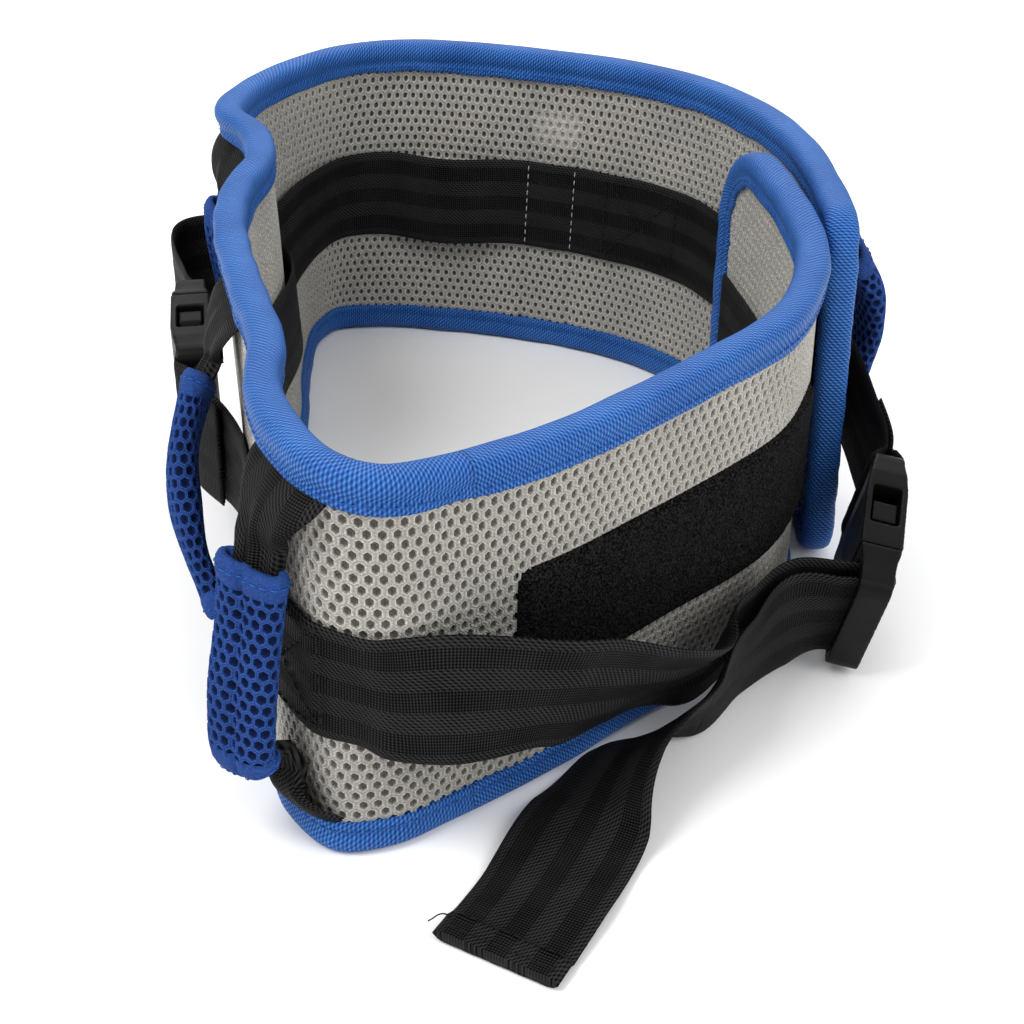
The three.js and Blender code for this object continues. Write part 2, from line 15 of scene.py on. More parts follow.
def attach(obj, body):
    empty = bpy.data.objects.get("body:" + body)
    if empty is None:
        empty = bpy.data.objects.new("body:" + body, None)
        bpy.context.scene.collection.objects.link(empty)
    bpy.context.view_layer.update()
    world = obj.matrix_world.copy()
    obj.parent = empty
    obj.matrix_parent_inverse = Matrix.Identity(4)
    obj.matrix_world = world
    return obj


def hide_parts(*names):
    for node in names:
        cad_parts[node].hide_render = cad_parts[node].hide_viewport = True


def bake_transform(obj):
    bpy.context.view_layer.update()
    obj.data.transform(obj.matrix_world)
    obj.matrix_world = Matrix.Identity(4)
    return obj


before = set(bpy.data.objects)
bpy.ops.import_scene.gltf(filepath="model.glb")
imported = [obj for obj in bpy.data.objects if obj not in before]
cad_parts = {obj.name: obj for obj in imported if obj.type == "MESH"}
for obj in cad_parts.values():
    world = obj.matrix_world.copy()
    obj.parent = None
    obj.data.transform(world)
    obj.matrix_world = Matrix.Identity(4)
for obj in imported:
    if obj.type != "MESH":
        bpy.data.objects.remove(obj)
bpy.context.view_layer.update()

# ---- driving dimensions, the same as the CAD model's ------------------------------------------

MM = 0.001
SHIFT = np.array([-2.212, -22.134, 0.0]) * MM      # from the path's plan to the row frame
BELT_HEIGHT = 130 * MM
PAD_FACE = 3.6 * MM                 # the mesh's face, out from the middle of the pad
WEBBING_WIDTH = 38 * MM
WEBBING_THICKNESS = 1.5 * MM
WEBBING_MIDDLE = 4.65 * MM          # the middle of a webbing that lies on the pad
WAIST_HEIGHT = 60 * MM
PATCH_HEIGHT = 47 * MM
PATCH_MIDDLE = 64.5 * MM            # height of its middle line
FOLD_ALONG = 120 * MM
SEAM_ALONG = 262 * MM               # where the front piece of the pad meets the rest
TIP_RADIUS = 34 * MM                # rounded corners of the inner end
FLAP_RADIUS = 15 * MM

# The strip's upper and lower edges in plan, in millimetres, from the inner end round the front,
# the left side, the back and the right side to the end of the outer flap.
EDGE_POINTS = [
    ((79, 105), (78, 105)), ((84, 82), (83, 80)), ((89, 55), (88, 54)), ((92, 28), (91, 27)),
    ((92, 5), (90, 8)), ((88, -16), (84, -10)), ((78, -41), (70, -32)), ((48, -75), (40, -58)),
    ((12, -108), (9, -86)), ((-13, -123), (-15, -104)), ((-32, -129), (-34, -117)),
    ((-46, -122), (-48, -120)), ((-58, -104), (-61, -106)), ((-66, -82), (-69, -80)),
    ((-68, -55), (-75, -50)), ((-78, -20), (-81, -15)), ((-89, 25), (-85, 30)),
    ((-90, 55), (-86, 62)), ((-86, 80), (-85, 90)), ((-91, 105), (-85, 116)),
    ((-103, 126), (-87, 142)), ((-98, 150), (-88, 168)), ((-85, 173), (-87, 190)),
    ((-68, 190), (-78, 206)), ((-46, 198), (-57, 210)), ((-20, 196), (-27, 206)),
    ((16, 185), (10, 196)), ((48, 171), (42, 181)), ((74, 150), (67, 160)),
    ((92, 121), (87, 133)), ((101, 90), (100, 102)), ((104, 58), (106, 66)),
    ((105, 22), (107, 20)),
]


def unit(vectors):
    """The vectors at length 1, along the last axis."""
    vectors = np.asarray(vectors, float)
    length = np.linalg.norm(vectors, axis=-1, keepdims=True)
    return vectors / np.maximum(length, 1e-12)


def path_lengths(points):
    """How far along a line of points each of them is."""
    return np.concatenate([[0], np.cumsum(np.linalg.norm(np.diff(points, axis=0), axis=1))])


def read_table(where, places, table):
    """Vectors read between the rows of a table, whose rows belong to the given places."""
    return np.stack([np.interp(where, places, table[:, k]) for k in range(3)], axis=-1)


def spline(points, per_span):
    """A centripetal Catmull-Rom curve through the points, as the CAD model's curves are."""
    p = np.asarray(points, float)
    p = np.vstack([2 * p[0] - p[1], p, 2 * p[-1] - p[-2]])
    t = (np.arange(per_span) / per_span)[:, None]
    out = []
    for i in range(1, len(p) - 2):
        before, a, b, after = p[i - 1:i + 3]
        d0, d1, d2 = (max(np.linalg.norm(q), 1e-9) ** 0.5 for q in (a - before, b - a, after - b))
        ta = ((a - before) / d0 - (b - before) / (d0 + d1) + (b - a) / d1) * d1
        tb = ((b - a) / d1 - (after - a) / (d1 + d2) + (after - b) / d2) * d1
        c2 = 3 * (b - a) - 2 * ta - tb
        c3 = 2 * (a - b) + ta + tb
        out.append(a + ta * t + c2 * t ** 2 + c3 * t ** 3)
    out.append(p[-2:-1])
    return np.vstack(out)


class Strip:
    """The path of the padded strip, with its two edges."""

    def __init__(self, edge_points, per_span=24):
        top = np.array([(*upper, 0) for upper, _ in edge_points]) * MM + SHIFT
        bottom = np.array([(*lower, 0) for _, lower in edge_points]) * MM + SHIFT
        self.top = spline(top, per_span)
        self.bottom = spline(bottom, per_span)
        middle = (self.top + self.bottom) / 2
        self.along = path_lengths(middle)
        self.length = self.along[-1]
        self.heading = unit(np.gradient(middle, axis=0))
        self.normal = np.cross((0, 0, 1), self.heading)

    def read(self, table, along):
        return read_table(along, self.along, table)

    def place(self, along, out, height):
        """Points in the row frame, from arrays of strip coordinates."""
        along, out, height = np.broadcast_arrays(along, out, height)
        low = self.read(self.bottom, along)
        high = self.read(self.top, along)
        share = (height / BELT_HEIGHT)[..., None]
        point = low + (high - low) * share + unit(self.read(self.normal, along)) * out[..., None]
        point[..., 2] = height
        return point


strip = Strip(EDGE_POINTS)

# ---- mesh helpers -------------------------------------------------------------------------------


def waves(count, shortest, longest, seed):
    """Random smooth waves: a function of two coordinates in metres that stays within about -1..1."""
    local = np.random.default_rng(seed)
    angle = local.uniform(0, 2 * math.pi, count)
    size = local.uniform(shortest, longest, count)
    phase = local.uniform(0, 2 * math.pi, count)

    def value(x, y):
        total = 0
        for a, s, p in zip(angle, size, phase):
            total = total + np.sin((x * math.cos(a) + y * math.sin(a)) * 2 * math.pi / s + p)
        return total / math.sqrt(count) / 1.4

    return value


def smooth_step(value, low, high):
    t = np.clip((value - low) / (high - low), 0, 1)
    return t * t * (3 - 2 * t)


def add_object(name, data):
    """A new object, linked to the scene."""
    obj = bpy.data.objects.new(name, data)
    bpy.context.scene.collection.objects.link(obj)
    return obj


def add_mesh(name, vertices, face_groups, material, lay=None):
    """A mesh object from arrays. face_groups holds index arrays, each of one polygon size."""
    mesh = bpy.data.meshes.new(name)
    loops = np.concatenate([np.asarray(g, np.int32).ravel() for g in face_groups if len(g)])
    sizes = np.concatenate([np.full(len(g), np.shape(g)[1], np.int32) for g in face_groups if len(g)])
    mesh.vertices.add(len(vertices))
    mesh.vertices.foreach_set("co", np.asarray(vertices, np.float32).ravel())
    mesh.loops.add(len(loops))
    mesh.loops.foreach_set("vertex_index", loops)
    mesh.polygons.add(len(sizes))
    starts = np.concatenate([[0], np.cumsum(sizes)[:-1]]).astype(np.int32)
    mesh.polygons.foreach_set("loop_start", starts)
    mesh.update(calc_edges=True)
    mesh.validate()
    mesh.shade_smooth()
    if lay is not None:
        attribute = mesh.attributes.new("lay", "FLOAT_VECTOR", "POINT")
        attribute.data.foreach_set("vector", np.asarray(lay, np.float32).ravel())
    mesh.materials.append(material)
    obj = add_object(name, mesh)
    return obj


def grid_faces(rows, columns, closed=False):
    """Quads of a grid of points, row by row; closed joins the last column to the first."""
    last = columns if closed else columns - 1
    r, c = np.meshgrid(np.arange(rows - 1), np.arange(last), indexing="ij")
    n = (c + 1) % columns
    quads = np.stack([r * columns + c, r * columns + n, (r + 1) * columns + n, (r + 1) * columns + c], -1)
    return quads.reshape(-1, 4)


def tube(rings):
    """Vertices and faces of a closed tube through rings of points, capped at both ends."""
    rows, columns = rings.shape[:2]
    faces = [grid_faces(rows, columns, closed=True)]
    faces.append(np.arange(columns)[::-1][None, :])
    faces.append((np.arange(columns) + (rows - 1) * columns)[None, :])
    return rings.reshape(-1, 3), faces


def join_parts(parts):
    """One set of vertices, faces and lay coordinates from several."""
    vertices, faces, lays, start = [], [], [], 0
    for part_vertices, part_faces, part_lay in parts:
        vertices.append(part_vertices)
        lays.append(part_lay)
        faces += [np.asarray(group) + start for group in part_faces]
        start += len(part_vertices)
    return np.vstack(vertices), faces, np.vstack(lays)


# ---- materials ----------------------------------------------------------------------------------


class Look:
    """A procedural material, built up from a Principled shader."""

    def __init__(self, name, roughness, **sockets):
        self.material = bpy.data.materials.new(name)
        self.material.use_nodes = True
        self.tree = self.material.node_tree
        self.shader = self.tree.nodes["Principled BSDF"]
        self.shader.inputs["Roughness"].default_value = roughness
        for key, value in sockets.items():
            self.shader.inputs[key.replace("_", " ")].default_value = value

    def node(self, kind, inputs=None, **settings):
        node = self.tree.nodes.new(kind)
        for key, value in settings.items():
            setattr(node, key, value)
        for key, value in (inputs or {}).items():
            if isinstance(value, bpy.types.NodeSocket):
                self.tree.links.new(value, node.inputs[key])
            else:
                node.inputs[key].default_value = value
        return node

    def lay(self):
        return self.node("ShaderNodeAttribute", attribute_name="lay").outputs["Vector"]

    def position(self):
        return self.node("ShaderNodeTexCoord").outputs["Object"]

    def wave(self, vector, period, direction="X", distortion=0.0):
        """Sine bands of the given period in metres."""
        return self.node("ShaderNodeTexWave", {
            "Vector": vector, "Scale": 2 * math.pi / 20 / period, "Distortion": distortion,
            "Detail": 1.0, "Detail Scale": 2.0}, wave_type="BANDS", bands_direction=direction,
            wave_profile="SIN").outputs["Fac"]

    def noise(self, vector, size, detail=3.0):
        return self.node("ShaderNodeTexNoise", {
            "Vector": vector, "Scale": 1 / size, "Detail": detail}).outputs["Fac"]

    def math(self, operation, a, b):
        return self.node("ShaderNodeMath", {0: a, 1: b}, operation=operation).outputs[0]

    def total(self, first, *others):
        """The sum of (socket, share) pairs."""
        tone = self.math("MULTIPLY", *first)
        for pair in others:
            tone = self.math("ADD", tone, self.math("MULTIPLY", *pair))
        return tone

    def ramp(self, factor, stops):
        """stops: (position, color) pairs."""
        node = self.node("ShaderNodeValToRGB", {"Fac": factor})
        elements = node.color_ramp.elements
        elements[0].position, elements[0].color = stops[0][0], (*stops[0][1], 1)
        elements[1].position, elements[1].color = stops[-1][0], (*stops[-1][1], 1)
        for position, color in stops[1:-1]:
            elements.new(position).color = (*color, 1)
        return node.outputs["Color"]

    def mix(self, factor, a, b, blend="MIX"):
        node = self.tree.nodes.new("ShaderNodeMix")
        node.data_type = "RGBA"
        node.blend_type = blend
        for key, value in ((0, factor), (6, a), (7, b)):
            if isinstance(value, bpy.types.NodeSocket):
                self.tree.links.new(value, node.inputs[key])
            else:
                node.inputs[key].default_value = value if key == 0 else (*value, 1)
        return node.outputs[2]

    def drive(self, name, socket):
        """Let a socket set one of the shader's inputs."""
        self.tree.links.new(socket, self.shader.inputs[name])

    def bump(self, height, distance, strength=1.0, after=None):
        inputs = {"Height": height, "Distance": distance, "Strength": strength}
        if after is not None:
            inputs["Normal"] = after
        normal = self.node("ShaderNodeBump", inputs).outputs["Normal"]
        self.drive("Normal", normal)
        return normal


def grey(value):
    return (value, value, value)


def make_mesh_look(name, rim, shade, floor):
    """Knitted spacer mesh: light yarn round each hole, darker down inside it; the dark hole floors are
    painted shade.
    """
    look = Look(name, 0.85, Specular_IOR_Level=0.1)
    lay = look.lay()
    depth = look.node("ShaderNodeSeparateXYZ", {"Vector": lay}).outputs["Z"]
    # Colour follows the depth share: lightest on the rims, darker on the land, and darkest on the hole
    # floors, which is painted shade in the holes.
    body = look.ramp(depth, [(0.0, rim), (0.45, shade), (1.0, floor)])
    place = look.position()
    patchy = look.ramp(look.noise(place, 0.03), [(0.3, grey(0.88)), (0.7, (1.06, 1.05, 1.04))])
    yarn = look.wave(place, 0.0007, "DIAGONAL", 6.0)
    fleck = look.ramp(look.noise(place, 0.0006), [(0.32, grey(0.7)), (0.68, grey(1.22))])
    patched = look.mix(1.0, body, patchy, "MULTIPLY")
    look.drive("Base Color", look.mix(1.0, patched, fleck, "MULTIPLY"))
    look.bump(yarn, 0.00025, 0.6)
    return look.material


def make_webbing_look(name, dark, light):
    """Polyester webbing: five lengthwise bands, ribbed and twilled in turn, over a fine cross grain."""
    look = Look(name, 0.6, Specular_IOR_Level=0.035)
    lay = look.lay()
    band = look.wave(lay, WEBBING_WIDTH / 3, "Y")
    bands = look.ramp(band, [(0.42, grey(0)), (0.58, grey(1))])
    rib = look.wave(lay, 0.00085, "X", 0.3)
    twill = look.wave(lay, 0.0008, "DIAGONAL", 0.3)
    yarn = look.wave(lay, 0.0009, "Y", 0.3)
    weave = look.mix(bands, rib, twill)
    dust = look.noise(look.position(), 0.012)
    tone = look.total((weave, 0.36), (yarn, 0.3), (bands, 0.14), (dust, 0.25))
    look.drive("Base Color", look.ramp(tone, [(0.34, dark), (0.84, light)]))
    look.drive("Roughness", look.ramp(bands, [(0.0, grey(0.5)), (1.0, grey(0.66))]))
    first = look.bump(weave, 0.0002, 0.8)
    look.bump(yarn, 0.00012, 0.6, first)
    return look.material


def make_twill_look(name, dark, middle, light):
    """Woven edge tape: fine diagonal twill with a cross grain."""
    look = Look(name, 0.5, Specular_IOR_Level=0.14)
    lay = look.lay()
    twill = look.wave(lay, 0.0009, "DIAGONAL", 0.6)
    grain = look.wave(lay, 0.001, "X", 0.5)
    cloud = look.noise(look.position(), 0.02)
    tone = look.total((twill, 0.34), (grain, 0.46), (cloud, 0.3))
    look.drive("Base Color", look.ramp(tone, [(0.1, dark), (0.5, middle), (0.95, light)]))
    first = look.bump(twill, 0.0003, 0.8)
    look.bump(grain, 0.00018, 0.7, first)
    return look.material


def make_patch_look(name):
    """Hook-and-loop tape: a matted pile."""
    look = Look(name, 0.95, Specular_IOR_Level=0.04)
    place = look.position()
    pile = look.noise(place, 0.0007, 2.0)
    clumps = look.noise(place, 0.003)
    tone = look.total((pile, 0.88), (clumps, 0.12))
    look.drive("Base Color", look.ramp(tone, [(0.42, grey(0.0006)), (0.66, (0.021, 0.0195, 0.019))]))
    look.bump(pile, 0.0008, 1.0)
    return look.material


def make_plastic_look(name):
    """Moulded acetal: a fine spark-eroded texture, slightly polished where it is handled."""
    look = Look(name, 0.4, Specular_IOR_Level=0.105)
    place = look.position()
    grain = look.noise(place, 0.0006, 2.0)
    worn = look.noise(place, 0.014)
    body = look.ramp(worn, [(0.3, (0.0026, 0.0026, 0.0029)), (0.7, (0.005, 0.005, 0.0055))])
    look.drive("Base Color", body)
    look.drive("Roughness", look.ramp(worn, [(0.3, grey(0.5)), (0.7, grey(0.36))]))
    look.bump(grain, 0.00006, 0.7)
    return look.material


def make_thread_look(name, color):
    look = Look(name, 0.6, Specular_IOR_Level=0.1)
    twist = look.wave(look.position(), 0.0005, "DIAGONAL", 1.0)
    dim = tuple(c * 0.6 for c in color)
    look.drive("Base Color", look.ramp(twist, [(0.2, dim), (0.8, color)]))
    look.bump(twist, 0.0001, 0.6)
    return look.material


# Each knit's colours: rims, land, and hole floors, whose dark colour is painted shade.
MESH = make_mesh_look("spacer_mesh", (0.495, 0.48, 0.447), (0.275, 0.262, 0.238), (0.09, 0.084, 0.071))
SLEEVE = make_mesh_look("sleeve_mesh", (0.032, 0.085, 0.31), (0.008, 0.031, 0.145),
                        (0.0005, 0.002, 0.014))
TWILL = make_twill_look("edge_tape", (0.0015, 0.015, 0.1), (0.011, 0.07, 0.285), (0.062, 0.215, 0.56))
WEBBING = make_webbing_look("webbing", (0.0004, 0.0004, 0.0005), (0.028, 0.0275, 0.0285))
PATCH = make_patch_look("hook_and_loop")
PLASTIC = make_plastic_look("buckle_plastic")
BLUE_THREAD = make_thread_look("blue_thread", (0.02, 0.11, 0.42))
BLACK_THREAD = make_thread_look("black_thread", (0.012, 0.012, 0.013))
GREY_THREAD = make_thread_look("grey_thread", (0.45, 0.43, 0.40))

# ---- open knit: a sheet of staggered oval holes -------------------------------------------------

# How deep each part of a cell lies, as a share of the knit's depth; a rim is at 0. The same shares set
# the knit's colour, so the floors are painted dark as painted shade in the holes.
LAND_DEPTH, FLOOR_EDGE_DEPTH, FLOOR_DEPTH = 0.42, 0.8, 1.0
FLOOR_SHARE = 0.86                  # a hole's floor is this much smaller than its rim
ROUND_OUT = 0.93                    # a six-sided hole reaches less far along than an oval one


def knit_cells(along_from, along_to, across_from, across_to, pitch, hole, keep=None, wrap=None):
    """Flat coordinates, depth shares and faces of a knit with an oval hole in each cell.

    pitch and hole are (along, across) sizes. keep(x, y) says which cells there are, and wrap is
    the length after which the along direction repeats, for a knit that runs round a tube.
    """
    rows = np.arange(math.ceil(across_from / pitch[1]), math.floor(across_to / pitch[1]) + 1)
    columns = np.arange(math.floor(along_from / pitch[0]), math.ceil(along_to / pitch[0]) + 1)
    r, c = (a.ravel() for a in np.meshgrid(rows, columns, indexing="ij"))
    half_steps = 2 * c + r % 2
    inside = (half_steps * pitch[0] / 2 >= along_from - 1e-9)
    inside &= (half_steps * pitch[0] / 2 < along_to - 1e-9)
    if keep is not None:
        inside &= keep(half_steps * pitch[0] / 2, r * pitch[1])
    r, half_steps = r[inside], half_steps[inside]
    count = len(r)
    # Corners sit on a lattice of half pitches along and thirds of a pitch across.
    corner_along = np.array([1, 0, -1, -1, 0, 1])
    corner_across = np.array([1, 2, 1, -1, -2, -1])
    lattice = np.stack([half_steps[:, None] + corner_along, 3 * r[:, None] + corner_across], -1)
    if wrap is not None:
        lattice[..., 0] %= round(wrap / pitch[0]) * 2
    corners, index = np.unique(lattice.reshape(-1, 2), axis=0, return_inverse=True)
    index = index.reshape(count, 6)
    centre = np.stack([half_steps * pitch[0] / 2, r * pitch[1]], -1)
    angle = np.radians([30, 90, 150, 210, 270, 330])
    ring = np.stack([np.cos(angle) * hole[0] / 2 / ROUND_OUT, np.sin(angle) * hole[1] / 2], -1)
    rim = centre[:, None] + ring
    floor = centre[:, None] + ring * FLOOR_SHARE
    flat = np.vstack([corners * [pitch[0] / 2, pitch[1] / 3], rim.reshape(-1, 2),
                      floor.reshape(-1, 2), centre])
    depth = np.concatenate([np.full(len(corners), LAND_DEPTH), np.zeros(count * 6),
                            np.full(count * 6, FLOOR_EDGE_DEPTH), np.full(count, FLOOR_DEPTH)])
    rim_index = len(corners) + np.arange(count * 6).reshape(count, 6)
    floor_index = rim_index + count * 6
    centre_index = np.broadcast_to((len(corners) + count * 12 + np.arange(count))[:, None], (count, 6))
    next_corner, next_rim, next_floor = (np.roll(i, -1, 1) for i in (index, rim_index, floor_index))
    land = np.stack([rim_index, index, next_corner, next_rim], -1)
    wall = np.stack([floor_index, rim_index, next_rim, next_floor], -1)
    bottom = np.stack([floor_index, next_floor, centre_index], -1)
    faces = [land.reshape(-1, 4), wall.reshape(-1, 4), bottom.reshape(-1, 3)]
    return flat, depth, faces


def border_edges(quads, triangles):
    """The edges that only one face uses, each running the way that face runs."""
    edges = []
    for group in (quads, triangles):
        for k in range(group.shape[1]):
            edges.append(np.stack([group[:, k], group[:, (k + 1) % group.shape[1]]], -1))
    edges = np.vstack(edges)
    ends = np.sort(edges, axis=1)
    _, first, uses = np.unique(ends, axis=0, return_index=True, return_counts=True)
    return edges[first[uses == 1]]


# ---- the pad ------------------------------------------------------------------------------------

KNIT_PITCH = (3.5 * MM, 3.6 * MM)
KNIT_HOLE = (2.2 * MM, 3.6 * MM)
INNER_HOLE = (1.9 * MM, 3.0 * MM)
KNIT_DEPTH = 0.9 * MM
KNIT_RIM = 0.18 * MM                # the rim of a hole stands a little proud
PAD_INSET = 5 * MM                  # the knit ends under the edge tape
PAD_SAG = 0.35 * MM
SEAM_DIP = 0.9 * MM
FLATTENED = 0.5                     # the share of a hole's depth that pressing takes away
puff = waves(9, 30 * MM, 90 * MM, 3)


def corner_radius(along):
    return np.where(along < strip.length / 2, TIP_RADIUS, FLAP_RADIUS)


def inside_outline(along, height, inset):
    """Whether points lie within the strip's rounded outline, less an inset."""
    radius = corner_radius(along)
    from_end = np.minimum(along, strip.length - along)
    from_edge = np.minimum(height, BELT_HEIGHT - height)
    dx = np.maximum(radius - from_end, 0)
    dy = np.maximum(radius - from_edge, 0)
    in_corner = (dx > 0) & (dy > 0)
    corner = radius - np.hypot(dx, dy) > inset
    plain = (from_end > inset) & (from_edge > inset)
    return np.where(in_corner, corner, plain)


# The back handle is sewn through the pad in two upright seams, with a pressed patch between them.
BACK_SEAMS = (717 * MM, 737 * MM)
PRESSED = (92 * MM, 106 * MM)


def seam_dip(along):
    return sum(1 - smooth_step(np.abs(along - seam), 0.3 * MM, 2.2 * MM) for seam in BACK_SEAMS)


def pressed(along, height):
    between = smooth_step(along, BACK_SEAMS[0] - MM, BACK_SEAMS[0] + MM)
    between *= 1 - smooth_step(along, BACK_SEAMS[1] - MM, BACK_SEAMS[1] + MM)
    return between * smooth_step(height, *(PRESSED[0] + np.array([-2, 2]) * MM)) * (
        1 - smooth_step(height, PRESSED[1] - MM, PRESSED[1] + MM))


def pad_piece(name, along_from, along_to):
    """A length of the pad: an outer and an inner knit face, joined round their borders."""
    def keep(x, y):
        return inside_outline(x, y, PAD_INSET)

    def knit(hole):
        return knit_cells(along_from, along_to, PAD_INSET, BELT_HEIGHT - PAD_INSET, KNIT_PITCH, hole,
                          keep)

    flat, depth, faces = knit(KNIT_HOLE)
    inner_flat = knit(INNER_HOLE)[0]
    along, height = flat[:, 0], flat[:, 1]
    sag = PAD_SAG * (puff(along, height) - 1)
    drop = np.select([depth == 0, depth < 0.5], [-KNIT_RIM, 0], KNIT_DEPTH)
    outer = strip.place(along, PAD_FACE + sag - drop, height)
    along, height = inner_flat[:, 0], inner_flat[:, 1]
    flatter = pressed(along, height)
    inner_out = PAD_FACE + sag - drop * (1 - FLATTENED * flatter) - SEAM_DIP * seam_dip(along)
    inner = strip.place(along, -inner_out, height)
    count = len(flat)
    outward = [group[:, ::-1] for group in faces]
    inward = [group + count for group in faces]
    rim = border_edges(np.vstack([faces[0], faces[1]]), faces[2])
    sides = np.stack([rim[:, 0], rim[:, 1], rim[:, 1] + count, rim[:, 0] + count], -1)
    lay = np.stack([flat[:, 0], flat[:, 1], depth], -1)
    # Where the pad is pressed the holes are shallower, and their painted shade is lighter by the same
    # share.
    inner_lay = np.stack([along, height, depth * (1 - FLATTENED * flatter)], -1)
    return add_mesh(name, np.vstack([outer, inner]), [*outward, *inward, sides], MESH,
                    np.vstack([lay, inner_lay]))


# ---- sewing -------------------------------------------------------------------------------------

STITCH_RINGS, STITCH_SIDES = 5, 6


def stitch_row(points, normals, length, pitch, size):
    """Stitches along a line of points: short plump threads that dip at both ends."""
    points, normals = np.asarray(points), np.asarray(normals)
    travelled = path_lengths(points)
    starts = np.arange(pitch / 2, travelled[-1] - length, pitch)
    share = np.linspace(0, 1, STITCH_RINGS)
    where = starts[:, None] + share * length
    line = read_table(where, travelled, points)
    up = unit(read_table(where, travelled, normals))
    forward = unit(np.gradient(line, axis=1))
    side = unit(np.cross(forward, up))
    plump = np.sin(share * math.pi).clip(0) ** 0.5
    lift = plump * size * 0.5
    thick = size / 2 * (0.35 + 0.65 * plump)
    angle = np.arange(STITCH_SIDES) * 2 * math.pi / STITCH_SIDES
    ring = np.cos(angle)[:, None] * side[:, :, None] + np.sin(angle)[:, None] * up[:, :, None]
    rings = (line + up * lift[:, None])[:, :, None] + ring * thick[:, None, None]
    start = np.arange(len(starts))[:, None, None] * STITCH_RINGS * STITCH_SIDES
    quads = (grid_faces(STITCH_RINGS, STITCH_SIDES, closed=True)[None] + start).reshape(-1, 4)
    first = np.arange(STITCH_SIDES)
    last = first + (STITCH_RINGS - 1) * STITCH_SIDES
    caps = np.stack([first[::-1] + start[:, 0], last + start[:, 0]], 1).reshape(-1, STITCH_SIDES)
    vertices = rings.reshape(-1, 3)
    return vertices, [quads, caps], np.zeros((len(vertices), 3))


def sew(name, lines, material, length=2.6 * MM, pitch=3.4 * MM, size=0.55 * MM):
    """One piece holding the stitches along several lines; a line is (points, normals)."""
    parts = [stitch_row(points, normals, length, pitch, size) for points, normals in lines]
    vertices, faces, lay = join_parts(parts)
    return add_mesh(name, vertices, faces, material, lay)


def flat_line(corners, out, step=2 * MM):
    """A polyline over (along, height) places in mm at a distance out, with its normals."""
    corners = np.asarray(corners, float) * MM
    legs = []
    for a, b in zip(corners[:-1], corners[1:]):
        count = max(int(np.linalg.norm(b - a) / step), 2)
        legs.append(a + (b - a) * np.linspace(0, 1, count)[:, None])
    flat = np.vstack(legs)
    out = out(flat[:, 0]) if callable(out) else out
    side = np.sign(np.mean(out))
    points = strip.place(flat[:, 0], out, flat[:, 1])
    return points, unit(strip.read(strip.normal, flat[:, 0])) * side


def box_stitching(name, along_from, along_to, low, high, out):
    """A sewn box with a cross in it."""
    around = [(along_from, low), (along_to, low), (along_to, high), (along_from, high),
              (along_from, low)]
    lines = [flat_line(around, out), flat_line([around[0], around[2]], out),
             flat_line([around[1], around[3]], out)]
    return sew(name, lines, BLACK_THREAD)


# ---- edge tape ----------------------------------------------------------------------------------

# The tape's section over an edge: (out, how far in from the edge), from the inner flange to the top.
TAPE_SECTION = [(2.6, 11.4), (4.15, 11.45), (4.6, 11.1), (4.75, 10.0), (4.6, 8.6), (4.2, 7.6),
                (4.55, 6.7), (5.15, 5.3), (5.3, 3.8), (5.0, 2.2), (4.2, 0.95), (2.8, 0.25), (1.2, 0.0)]
TAPE_STEP = 1.9 * MM
TAPE_WOBBLE = 0.05                  # how unevenly the tape is filled, as a share of its thickness
FLANGE_FROM = 8 * MM                # the flat flange, whose free edge wanders a little
FLANGE_WANDER = 0.5 * MM
TAPE_STITCH_IN = 8.9 * MM           # the stitches, in from the edge and out from the middle
TAPE_STITCH_OUT = 4.72 * MM
tape_wobble = waves(7, 9 * MM, 40 * MM, 11)


def outline_path(along_from, along_to, step):
    """The strip's rounded outline: points (along, height) and the directions to its inside.

    It starts on the lower edge at along_to and goes down to along_from and back on the upper
    edge when along_from is the inner end, and the other way round for the outer end.
    """
    at_tip = along_from <= 0
    radius = TIP_RADIUS if at_tip else FLAP_RADIUS
    end = 0.0 if at_tip else strip.length
    toward = 1 if at_tip else -1
    far = along_to if at_tip else along_from
    straight = np.arange(0, 1, step / abs(far - end - toward * radius))
    lower = [(far + (end + toward * radius - far) * s, 0, 0, 1) for s in straight]
    turn = np.linspace(0, math.pi / 2, max(int(radius * math.pi / 2 / step), 4))
    centre = end + toward * radius
    corner = [(centre - toward * radius * math.sin(a), radius - radius * math.cos(a),
               toward * math.sin(a), math.cos(a)) for a in turn]
    rise = np.arange(step, BELT_HEIGHT - 2 * radius, step)
    upright = [(end, radius + r, toward, 0) for r in rise]
    half = np.array(lower + corner)
    flipped = half[::-1] * [1, -1, 1, -1] + [0, BELT_HEIGHT, 0, 0]
    return np.vstack([half, np.array(upright), flipped])


